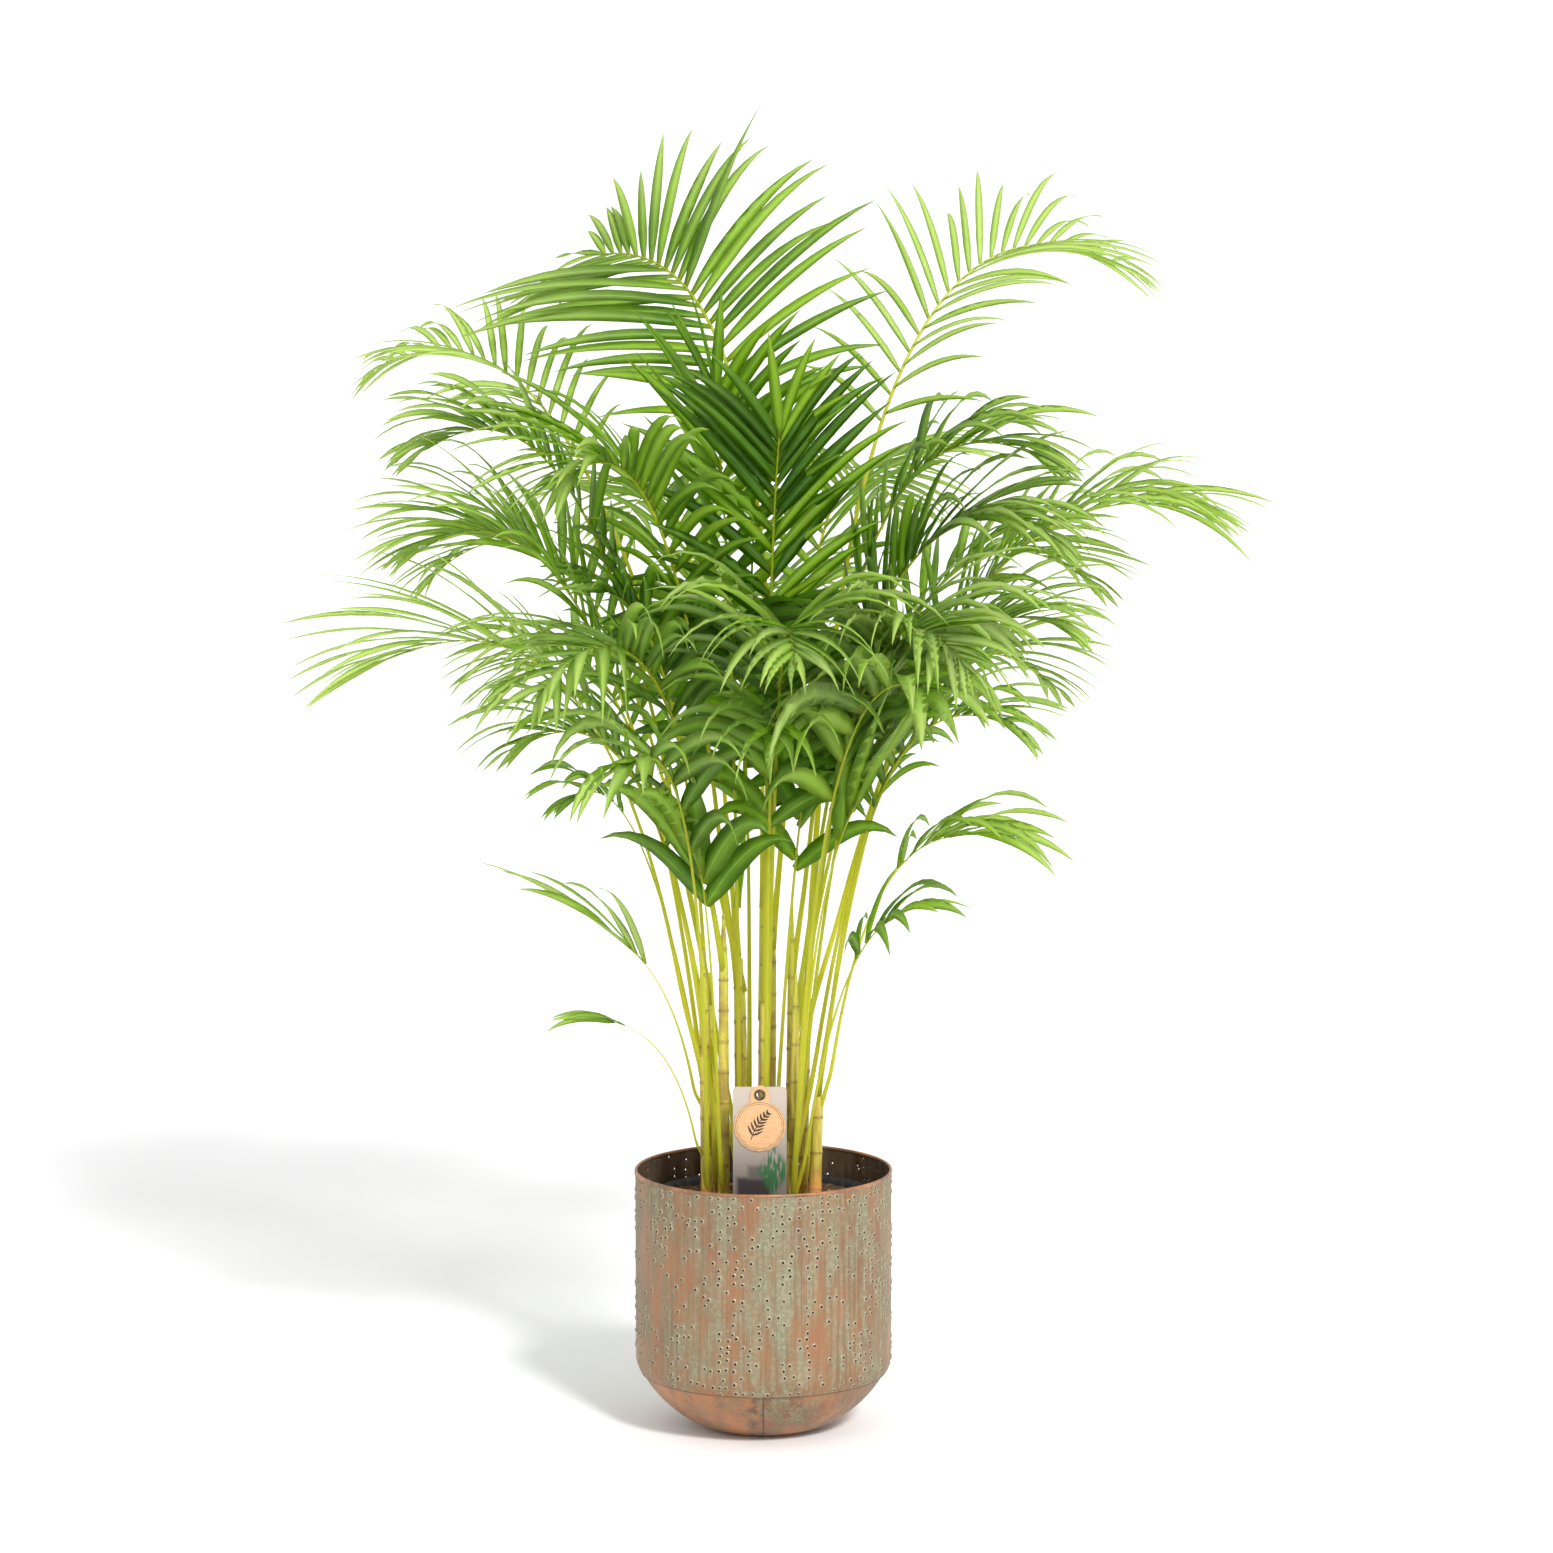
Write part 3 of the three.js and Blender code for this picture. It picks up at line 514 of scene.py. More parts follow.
def punched_cells(rng):
    """The numbers of the punched cells: a chance that follows noise, which runs upwards in short rows."""
    i, j = np.meshgrid(np.arange(CELLS_ROUND), np.arange(CELLS_UP), indexing="ij")
    runs = soft_noise(i, j * 0.4, 2.3, 5) + 0.7 * soft_noise(i, j * 0.3, 1.0, 8)
    chance = np.clip(PUNCHED_SHARE * (1 + 1.2 * runs), 0.05, 0.85).ravel()
    return np.flatnonzero(rng.random(len(chance)) < chance)


def crater_points(rng, cells):
    """Rings round the middle of each punched cell: along + r cos a, z + r sin a, at the ring's height."""
    i, j = np.divmod(cells, CELLS_UP)
    along, z = warped((i + 0.5) * CELL_WIDTH, SEAM_HEIGHT + (j + 0.5) * CELL_HEIGHT)
    along = along + rng.uniform(-PUNCH_MISS, PUNCH_MISS, len(cells))
    z = z + rng.uniform(-PUNCH_MISS, PUNCH_MISS, len(cells))
    size = rng.uniform(*CRATER_SIZES, len(cells))
    a = np.radians(360 / RING_POINTS * np.arange(RING_POINTS) - 135)
    r = CRATER_RINGS[None, :, None, 0] * size[:, None, None]
    height = CRATER_RINGS[None, :, None, 1] + 0 * r * a
    return roll_up(along[:, None, None] + r * np.cos(a), z[:, None, None] + r * np.sin(a), height)


def pick(loops, shapes):
    """Faces that use the same numbered points of every loop."""
    return np.concatenate([loops[:, shape] for shape in shapes])


def edge_strip(starts, row):
    """Faces between the two skins along the lattice's lowest or highest row."""
    first = np.arange(CELLS_ROUND)[:, None] * (CELLS_UP + 1) + row
    outer, inner = (first + starts[[0, 1]]).ravel(), (first + starts[[3, 4]]).ravel()
    return np.stack([outer, np.roll(outer, -1), np.roll(inner, -1), inner], -1)


def punched_wall():
    """Two skins of lattice points, and for each punched cell its crater's rings between them."""
    rng = np.random.default_rng(11)
    sets = [(0, 0, CELLS_UP + 1), (0.5, 0, CELLS_UP + 1), (0, 0.5, CELLS_UP)]
    skins = [lattice(*one, height).reshape(-1, 3) for height in (0.0, -SHEET) for one in sets]
    starts = np.cumsum([0] + [len(skin) for skin in skins])
    outer, inner = cell_loops(*starts[:3]), cell_loops(*starts[3:6])
    cells = punched_cells(rng)
    rings = crater_points(rng, cells)
    numbers = starts[-1] + np.arange(rings[..., 0].size).reshape(rings.shape[:-1])
    layers = np.concatenate([outer[cells][:, None], numbers, inner[cells][:, None]], 1)
    near, far = layers[:, :-1], layers[:, 1:]
    crater = np.stack([near, np.roll(near, -1, 2), np.roll(far, -1, 2), far], -1).reshape(-1, 4)
    # A plain cell is bands and wedges, so that the points in the middle of its edges are used too.
    plain = np.setdiff1d(np.arange(len(outer)), cells)
    bands = [pick(loops[plain], [[7, 0, 1, 5], [1, 2, 3, 5]]) for loops in (outer, inner)]
    wedges = [pick(loops[plain], [[7, 5, 6], [3, 4, 5]]) for loops in (outer, inner)]
    edges = [edge_strip(starts, 0)[:, ::-1], edge_strip(starts, CELLS_UP)]
    faces = np.concatenate([crater, bands[0], bands[1][:, ::-1], *edges])
    triangles = np.concatenate([wedges[0], wedges[1][:, ::-1]])
    lip_highlight, inside = (np.tile(np.repeat(column, RING_POINTS), len(cells)) for column in CRATER_RINGS.T[2:])
    skin_inside = np.repeat([0, 1], starts[3])
    values = {"crater": np.append(np.zeros(starts[-1]), lip_highlight), "inside": np.append(skin_inside, inside)}
    print("craters:", len(cells))
    return np.concatenate([*skins, rings.reshape(-1, 3)]), faces, triangles, values


wall_points, wall_faces, wall_triangles, wall_values = punched_wall()

# %% [markdown]
# ## Aged copper
#
# One group paints wall, rim and bowl, because all three had the same bath. It mixes four noises of Object
# coordinates. Squeezed along Z, noise turns into upright streaks: broad ones say where the green is, fine
# ones are brush marks. A rounder one shifts the colour from place to place, and a fine one speckles the
# green. Green crust is rough and not metal; bare copper is smoother and part metal. Crater lips are painted
# paler and a little greener: the paler colour is a painted highlight on their raised rings.

# %% Aged copper group
COPPER = (0.335, 0.162, 0.080)
VERDIGRIS = (0.215, 0.200, 0.118)


def copper_group():
    """How green a place is decides its colour, its roughness and how metallic it is."""
    group, inp, out = new_group(
        "aged_copper",
        [("Green share", "Float", 0.5), ("Copper", "Color", COPPER), ("Worn", "Float", 0.0)],
        [("Colour", "Color"), ("Roughness", "Float"), ("Metallic", "Float"), ("Height", "Float")],
    )
    where = object_place(group)

    def streak(upright, scale, detail, waver=0.0):
        """Noise drawn out upwards: the smaller the first number, the longer the streaks."""
        drawn_out = stretch(group, where, (1, 1, upright))
        return noise(group, drawn_out, scale, detail, Roughness=0.6, Distortion=waver)

    broad = streak(0.24, 58, 4, 0.7)
    brushed = streak(0.02, 420, 2)
    cloud = streak(0.5, 26, 4)
    speck = streak(1, 240, 3)
    share, lip_highlight = inp["Green share"], inp["Worn"]
    mixed = total(group, (broad, 0.6), (cloud, 0.4), (brushed, 0.16, 0.5), (share, 0.45, 0.5), (lip_highlight, 0.07))
    green = ramp(group, mixed, 0.38, 0.66)
    warm = blend_colours(group, ramp(group, cloud, 0.35, 0.65), inp["Copper"], (0.235, 0.110, 0.058))
    warm = blend_colours(group, ramp(group, brushed, 0.45, 0.75, 0, 0.4), warm, (0.44, 0.245, 0.135))
    cool = blend_colours(group, ramp(group, speck, 0.42, 0.66), VERDIGRIS, (0.29, 0.275, 0.175))
    cool = blend_colours(group, ramp(group, brushed, 0.5, 0.35, 0, 0.6), cool, (0.150, 0.135, 0.080))
    colour = blend_colours(group, green, warm, cool)
    # Painted highlight: the raised crater lips are painted a paler grey-green.
    colour = blend_colours(group, times(group, lip_highlight, 0.6), colour, (0.47, 0.43, 0.31))
    group.links.new(colour, out["Colour"])
    group.links.new(ramp(group, green, 0, 1, 0.40, 0.72), out["Roughness"])
    group.links.new(ramp(group, green, 0, 1, 0.55, 0.05), out["Metallic"])
    group.links.new(total(group, (brushed, 0.5), (speck, 0.5), (green, 0.3)), out["Height"])
    return group


AGED_COPPER = copper_group()
print("aged copper:", len(AGED_COPPER.nodes), "nodes")


# %% Wall finish
def copper_finish(name, green, copper=COPPER, cratered=False):
    """The group's finish. A piece with craters also gets painted shade: a dark inside and dark hole walls,
    and a dark line along its lower edge, in the gap where it meets the bowl."""
    material, tree, shader = new_finish(name)
    values = {"Green share": green, "Copper": copper}
    if cratered:
        values["Worn"] = point_value(tree, "crater")
    metal = use_group(tree, AGED_COPPER, values)
    colour = metal["Colour"]
    if cratered:
        # Painted shade: a dark line along the wall's lower edge, in the gap where it laps over the bowl.
        height = split(tree, object_place(tree))[2]
        edge = ramp(tree, height, (SEAM_HEIGHT + 1.4) * MM, (SEAM_HEIGHT + 0.3) * MM, 0, 0.8)
        colour = blend_colours(tree, edge, colour, (0.05, 0.03, 0.02))
        # Painted shade: the inside skin and the walls of the holes are painted dark.
        inside = times(tree, point_value(tree, "inside"), 0.86)
        colour = blend_colours(tree, inside, colour, (0.065, 0.036, 0.020))
    paint(tree, shader, colour, metal["Roughness"], metal["Metallic"])
    bump(tree, shader, metal["Height"], 0.3, 0.0006)
    return material


WALL_CREASE = math.radians(38)  # a crater's lip is shaded as an edge, and the wall's curve is not
wall = make_piece("punched_wall", wall_points, wall_faces, None, wall_values, WALL_CREASE, wall_triangles)
place(wall, "pot_wall", copper_finish("verdigris_wall", 0.56, cratered=True))

# %% [markdown]
# ## Rim and bowl
#
# The wall's upper edge is folded over into a narrow hem that stays copper-coloured, because hands keep it
# bare. The bowl is one plain spun dish. Its upper edge goes up inside the wall, so the wall's lower edge
# stands proud of it as a fine step. Both are closed profiles turned about the pot's axis.

# %% Rolled rim
HEM_WIDTH = 2.9
HEM_WOBBLE = 0.0011  # share of the radius by which the hem is out of round


def rolled_rim():
    """A rounded square profile, |x|^3 + |y|^3 = 1, turned about Z and pushed a little out of round."""
    a = around(18)
    corner = (np.abs(np.cos(a)) ** 3 + np.abs(np.sin(a)) ** 3) ** (-1 / 3)
    r = POT_RADIUS - SHEET / 2 + HEM_WIDTH / 2 * corner * np.cos(a)
    z = POT_HEIGHT - RIM_THICKNESS / 2 + RIM_THICKNESS / 2 * corner * np.sin(a)
    points, faces = turned(np.stack([r, z], 1), 180)
    angle = np.arctan2(points[..., 1], points[..., 0])
    points[..., :2] *= (1 + HEM_WOBBLE * np.sin(5 * angle) * np.sin(3 * angle + 1))[..., None]
    return points * MM, faces


rim_points, rim_faces = rolled_rim()
rim = make_piece("rolled_rim", rim_points, rim_faces)
place(rim, "pot_wall", copper_finish("bare_copper_rim", 0.30, copper=(0.55, 0.25, 0.12)))

# %% Bowl
LAP_UP = 8  # mm that the bowl goes up inside the wall
BOWL_DENTS = 0.0012  # share of the radius by which the spun dish is uneven


def bowl():
    """The pot's own curve one lap step further in, and the same curve one sheet inside it."""
    z = np.concatenate([[0.0], np.geomspace(0.4, SEAM_HEIGHT + LAP_UP, 34)])
    r = pot_radius(z) - LAP_STEP
    slope = unit(np.stack([np.gradient(r), np.gradient(z)], 1))
    skin = np.stack([r, z], 1)
    inside = skin + SHEET * np.stack([-slope[:, 1], slope[:, 0]], 1)
    inside[0] = [FOOT_RADIUS - 1, SHEET]
    floor_r = np.linspace(0.05, 0.94, 9)[:, None]
    under = np.concatenate([floor_r * FOOT_RADIUS, 0 * floor_r], 1)
    over = np.concatenate([floor_r[::-1] * (FOOT_RADIUS - 1), 0 * floor_r + SHEET], 1)
    points, faces = turned(np.concatenate([under, skin, inside[::-1], over]), 160)
    dent = soft_noise(np.arctan2(points[..., 1], points[..., 0]) * 60, points[..., 2], 14, 3)
    points[..., :2] *= (1 + BOWL_DENTS * dent * smooth_step(points[..., 2], 3, 20))[..., None]
    return points * MM, faces


def bowl_finish():
    """Mostly bare copper, with a dark water stain and a soldered seam down the front."""
    material, tree, shader = new_finish("copper_bowl")
    metal = use_group(tree, AGED_COPPER, {"Green share": 0.40, "Copper": (0.46, 0.21, 0.10)})
    where = object_place(tree)
    x, y, _ = split(tree, where)
    front = ramp(tree, y, -0.03, -0.06)
    ragged = noise(tree, where, 90, 5)
    across = maths(tree, "ABSOLUTE", maths(tree, "ADD", x, times(tree, ragged, 0.012)))
    stain = times(tree, ramp(tree, across, 0.013, 0.002), ramp(tree, ragged, 0.45, 0.62))
    seam = ramp(tree, maths(tree, "ABSOLUTE", x), 0.0012, 0.0004)
    dark = times(tree, maths(tree, "MAXIMUM", times(tree, stain, 0.7), seam), front)
    colour = blend_colours(tree, dark, metal["Colour"], (0.09, 0.07, 0.06))
    paint(tree, shader, colour, metal["Roughness"], metal["Metallic"])
    bump(tree, shader, maths(tree, "SUBTRACT", metal["Height"], seam), 0.4, 0.0008)
    return material


bowl_points, bowl_faces = bowl()
place(make_piece("plain_bowl", bowl_points, bowl_faces), "pot_base", bowl_finish())

# %% [markdown]
# ## Nursery pot and soil
#
# Only the black edge of the nursery pot and the top of the soil can be seen under the metal rim. The soil
# is peat with coir chips: a disc of small hollows from layered noise, with a few hundred loose chips lying
# on it. A chip is a squashed box with its corners moved, so it has only six faces.

# %% Nursery pot
nursery_low, nursery_high = node_box("nursery_pot")
NURSERY_RIM = nursery_high[0]
NURSERY_FOOT = 86.0
NURSERY_WALL = 1.6
NURSERY_LIP = 4  # mm that the lip is wide and high


def nursery_pot():
    """A cone with a turned-out lip and five shallow steps, as a closed profile."""
    z = np.linspace(nursery_low[2], nursery_high[2] - NURSERY_LIP, 40)
    up = (z - z[0]) / (z[-1] - z[0])
    r = NURSERY_FOOT + (NURSERY_RIM - NURSERY_LIP - NURSERY_FOOT) * up + 0.35 * np.sin(up * 10 * np.pi)
    outside = np.stack([r, z], 1)
    lip = np.array([[0, -4], [-0.6, -0.6], [-1.4, 0], [-3.6, -0.1]]) + [NURSERY_RIM, nursery_high[2]]
    inside = outside[::-1] - [NURSERY_WALL, 0]
    inside[-1, 1] += NURSERY_WALL
    middle = [[0.5, inside[-1, 1]], [0.5, z[0]]]
    return turned(np.concatenate([outside, lip, inside, middle]), 128)


def plastic_finish():
    """Black plastic, with brown dust where the noise is high."""
    material, tree, shader = new_finish("nursery_black", roughness=0.5)
    dust = noise(tree, object_place(tree), 120, 6)
    dusty = ramp(tree, dust, 0.5, 0.75)
    paint(tree, shader, blend_colours(tree, dusty, (0.012, 0.012, 0.012), (0.07, 0.05, 0.035)))
    bump(tree, shader, dust, 0.2, 0.0005)
    return material


nursery_points, nursery_faces = nursery_pot()
place(make_piece("nursery_pot_black", nursery_points * MM, nursery_faces), "nursery_pot", plastic_finish())

# %% Soil block
soil_low, soil_high = node_box("soil")
SOIL_TOP = soil_high[2]
SOIL_DEPTH = SOIL_TOP - soil_low[2]
SOIL_RADIUS = soil_high[0]
SOIL_SIDES, SOIL_RINGS = 220, 80


def soil_height(x, y):
    """Layered noise: hollows 30 mm across, lumps 9 mm across, and crumbs of 3 mm. Heights in mm."""
    return 1.6 * soft_noise(x, y, 30, 1) + 1.1 * soft_noise(x, y, 9, 2) + 0.8 * soft_noise(x, y, 3, 3) - 1.0


def soil_block():
    """A bumpy disc on top, closed by a cone's side and a flat floor below."""
    a = around(SOIL_SIDES)[:, None]
    r = SOIL_RADIUS * np.linspace(0.004, 1, SOIL_RINGS)[None]
    x, y = r * np.cos(a), r * np.sin(a)
    top = np.stack([x, y, SOIL_TOP + soil_height(x, y)], -1)
    # Share of the radius and depth of the rings below the top one. The last is a pin hole in the floor.
    floor_z, pin = 1 - SOIL_DEPTH, 0.5 / SOIL_RADIUS
    below = [(0.99, -6), (0.9, -0.5 * SOIL_DEPTH), (0.78, floor_z), (pin, floor_z)]
    share, depth = np.array(below).T
    r = SOIL_RADIUS * share
    side = np.stack([r * np.cos(a), r * np.sin(a), SOIL_TOP + depth + 0 * a], -1)
    points = np.concatenate([top, side], 1)
    return points.reshape(-1, 3), grid_faces(SOIL_SIDES, points.shape[1], True, True)[:, ::-1]


print("soil", round(SOIL_RADIUS * 2), "mm across and", round(SOIL_DEPTH), "mm deep")


# %% Loose chips
CHIPS = 520
SQUARE = [(-1, -1), (1, -1), (1, 1), (-1, 1)]
BOX_CORNERS = np.array([(x, y, z) for z in (-1, 1) for x, y in SQUARE])
BOX_SIDES = np.array([[3, 2, 1, 0], [4, 5, 6, 7], [0, 1, 5, 4], [1, 2, 6, 5], [2, 3, 7, 6], [3, 0, 4, 7]])


def loose_chips():
    """Boxes with uneven corners, turned at random, lying on the soil inside the nursery pot."""
    rng = np.random.default_rng(21)
    r = SOIL_RADIUS * 0.97 * np.sqrt(rng.random(CHIPS))
    a = rng.uniform(0, 2 * np.pi, CHIPS)
    x, y = r * np.cos(a), r * np.sin(a)
    size = rng.uniform([1.5, 0.8, 0.4], [6, 2.4, 1.2], (CHIPS, 3))
    box = BOX_CORNERS[None] * size[:, None] * rng.uniform(0.55, 1, (CHIPS, 8, 3))
    tilt, tip = rng.normal(0, 0.35, (CHIPS, 2)).T
    spin = rng.uniform(0, np.pi, CHIPS)
    long_way = unit(np.stack([np.cos(spin), np.sin(spin), tilt], 1))
    up = unit(np.stack([-tilt * np.cos(spin), -tilt * np.sin(spin) + tip, 0 * spin + 1], 1))
    side = unit(np.cross(up, long_way))
    axes = np.stack([long_way, side, np.cross(long_way, side)], 1)
    centre = np.stack([x, y, SOIL_TOP + soil_height(x, y) + size[:, 2] * 0.6], 1)
    points = centre[:, None] + box @ axes
    return points.reshape(-1, 3), repeat_faces(BOX_SIDES, CHIPS, 8)


def soil_finish():
    """Dark crumbs and brown chips, with no gloss."""
    material, tree, shader = new_finish("peat_and_coir", roughness=0.95)
    crumb = noise(tree, object_place(tree), 380, 6, Roughness=0.7)
    earth = blend_colours(tree, ramp(tree, crumb, 0.35, 0.7), (0.035, 0.018, 0.010), (0.15, 0.075, 0.035))
    coir = blend_colours(tree, point_value(tree, "tone"), (0.10, 0.045, 0.022), (0.36, 0.18, 0.085))
    paint(tree, shader, blend_colours(tree, point_value(tree, "chip"), earth, coir))
    bump(tree, shader, crumb, 0.6, 0.001)
    return material


block, chips = soil_block(), loose_chips()
soil_points, soil_faces = join([block, chips])
plain = np.zeros(len(block[0]))
chip_tone = np.repeat(np.random.default_rng(4).random(CHIPS), 8)
soil_values = {"chip": np.append(plain, 1 + 0 * chip_tone), "tone": np.append(plain, chip_tone)}
place(make_piece("soil_surface", soil_points * MM, soil_faces, values=soil_values), "soil", soil_finish())

# %% [markdown]
# ## Canes
#
# A cane is a thin trunk. Each leaf that drops leaves a ring scar, so a cane is a row of short lengths with
# a swollen ring between them. Its surface is a circle carried up the cane's line: the radius shrinks by
# nearly a third, and a narrow bump is added at each scar. The same bump is kept as a value, so that the
# material can paint the scar brown. At the top the cane narrows into the youngest leaf bases.

# %% Cane table
# x, y at the soil, height over it, lean of the top in x and y, radius at the foot, all in mm.
Cane = namedtuple("Cane", "x y height lean_x lean_y foot")
CANES = [
    (-57, -10, 262, -4, -2, 6.3),
    (-40, -27, 300, 0, -4, 6),
    (-47, 20, 230, -8, 6, 4.6),
    (-23, 6, 310, -4, 0, 5.2),
    (-18, 42, 240, -4, 9, 4.6),
    (1, -18, 330, 0, -3, 5.4),
    (8, 30, 290, 2, 6, 4.6),
    (30, -29, 240, 3, -5, 5),
    (52, -4, 120, 4, 0, 6.6),
    (40, 26, 250, 6, 6, 4.8),
    (-2, 62, 200, 0, 10, 4.4),
    (26, 3, 310, 3, 1, 4.8),
]
CANES = [Cane(*row) for row in CANES]
CANE_DEPTH = 30.0
CANE_TAPER = 0.3
CANE_STATIONS, CANE_SIDES = 150, 20
SCAR_SPACING = 36.0
SCAR_SWELL = 0.55
SCAR_WIDTH = 1.4
TOP_TAPER = 0.62  # how much more it narrows over the top fifth
OVAL = 0.04
YOUNG_CANE = 9  # the one with the reddish foot
print("canes:", len(CANES), "the tallest", max(row.height for row in CANES), "mm")


# %% Cane shape
def cane_surface(cane, number):
    """A circle on each of many stations up the line: r = foot (1 - taper share) + a bump at each scar,
    and less near the top. The bumps come back as the scar value, with the height in metres."""
    rng = np.random.default_rng(299 + number)
    h = np.linspace(-CANE_DEPTH, cane.height, CANE_STATIONS)
    share = np.clip(h / cane.height, 0, 1)
    scars = np.arange(8 + 10 * rng.random(), cane.height, SCAR_SPACING * rng.uniform(0.8, 1.2))
    near = np.exp(-(((h[:, None] - scars[None]) / SCAR_WIDTH) ** 2)).sum(1)
    radius = cane.foot * (1 - CANE_TAPER * share) + SCAR_SWELL * near
    radius = radius * (1 - TOP_TAPER * smooth_step(share, 0.80, 1.0))
    a = around(CANE_SIDES)
    r = radius[:, None] * (1 + OVAL * np.sin(2 * a + number - 1)[None])
    line_x = cane.x + cane.lean_x * h / cane.height
    line_y = cane.y + cane.lean_y * h / cane.height
    line = np.stack([line_x, line_y, SOIL_TOP + h], 1)
    circle = np.stack([r * np.cos(a), r * np.sin(a), 0 * r], -1)
    points = (line[:, None] + circle).reshape(-1, 3)
    caps = np.array([line[0], line[-1] + [0, 0, 2]])
    ring = np.arange(CANE_SIDES)
    ends = [fan(len(points), ring)[:, [0, 2, 1]], fan(len(points) + 1, len(points) - CANE_SIDES + ring)]
    values = {
        "scar": np.append(np.repeat(near, CANE_SIDES), [0, 0]),
        "height": np.append(np.repeat(h, CANE_SIDES), [h[0], h[-1]]) * MM,
    }
    faces = grid_faces(CANE_STATIONS, CANE_SIDES, False, True)
    return np.append(points, caps, 0) * MM, faces, values, np.concatenate(ends)


def cane_finish(name, blush):
    """Olive-yellow skin with brown scars and freckles. blush reddens the foot, as on a young cane."""
    material, tree, shader = new_finish(name, roughness=0.42)
    where = object_place(tree)
    scar = point_value(tree, "scar")
    height = point_value(tree, "height")
    fibre = noise(tree, stretch(tree, where, (1, 1, 0.12)), 260, 4)
    patch = noise(tree, where, 38, 5)
    freckle = noise(tree, where, 330, 2)
    skin = blend_colours(tree, ramp(tree, fibre, 0.35, 0.65), (0.41, 0.32, 0.03), (0.62, 0.50, 0.09))
    skin = blend_colours(tree, ramp(tree, height, 0.10, 0.30, 0, 0.8), skin, (0.50, 0.54, 0.05))
    skin = blend_colours(tree, ramp(tree, patch, 0.50, 0.68, 0, 0.75), skin, (0.34, 0.21, 0.05))
    skin = blend_colours(tree, ramp(tree, freckle, 0.66, 0.74, 0, 0.8), skin, (0.12, 0.06, 0.025))
    skin = blend_colours(tree, maths(tree, "MULTIPLY", scar, 0.75, True), skin, (0.20, 0.11, 0.04))
    skin = blend_colours(tree, ramp(tree, height, 0.045, 0.0, 0, blush), skin, (0.80, 0.30, 0.10))
    paint(tree, shader, skin)
    bump(tree, shader, maths(tree, "SUBTRACT", fibre, scar), 0.25, 0.0008)
    return material


cane_skin = cane_finish("cane_skin", 0.25)
young_skin = cane_finish("young_cane_skin", 0.95)
for number, cane in enumerate(CANES, 1):
    cane_points, cane_faces, cane_values, cane_ends = cane_surface(cane, number)
    node = f"cane_{number:02d}"
    piece = make_piece(node + "_skin", cane_points, cane_faces, values=cane_values, triangles=cane_ends)
    place(piece, node, young_skin if number == YOUNG_CANE else cane_skin)

# %% [markdown]
# ## Fronds
#
# A palm's leaf is a frond: one stalk with a comb of leaflets down each side. The stalk leaves its cane
# steeply and then arches over, and a curve with three control points describes that well: it starts beside
# the cane, is drawn towards a knee, and ends at the tip.
#
# A leaflet is a long thin blade. It leaves the stalk at a wide angle low down and a narrow one near the
# tip, lifts out of the frond's plane, and bends down under its own weight. Its section is a shallow V,
# which is what keeps a long thin leaf stiff. Each leaflet is the same small grid, ten stations of four
# points, so that thousands of them stay light. A little seeded chance in each angle, length and twist
# stops the comb from looking stamped.

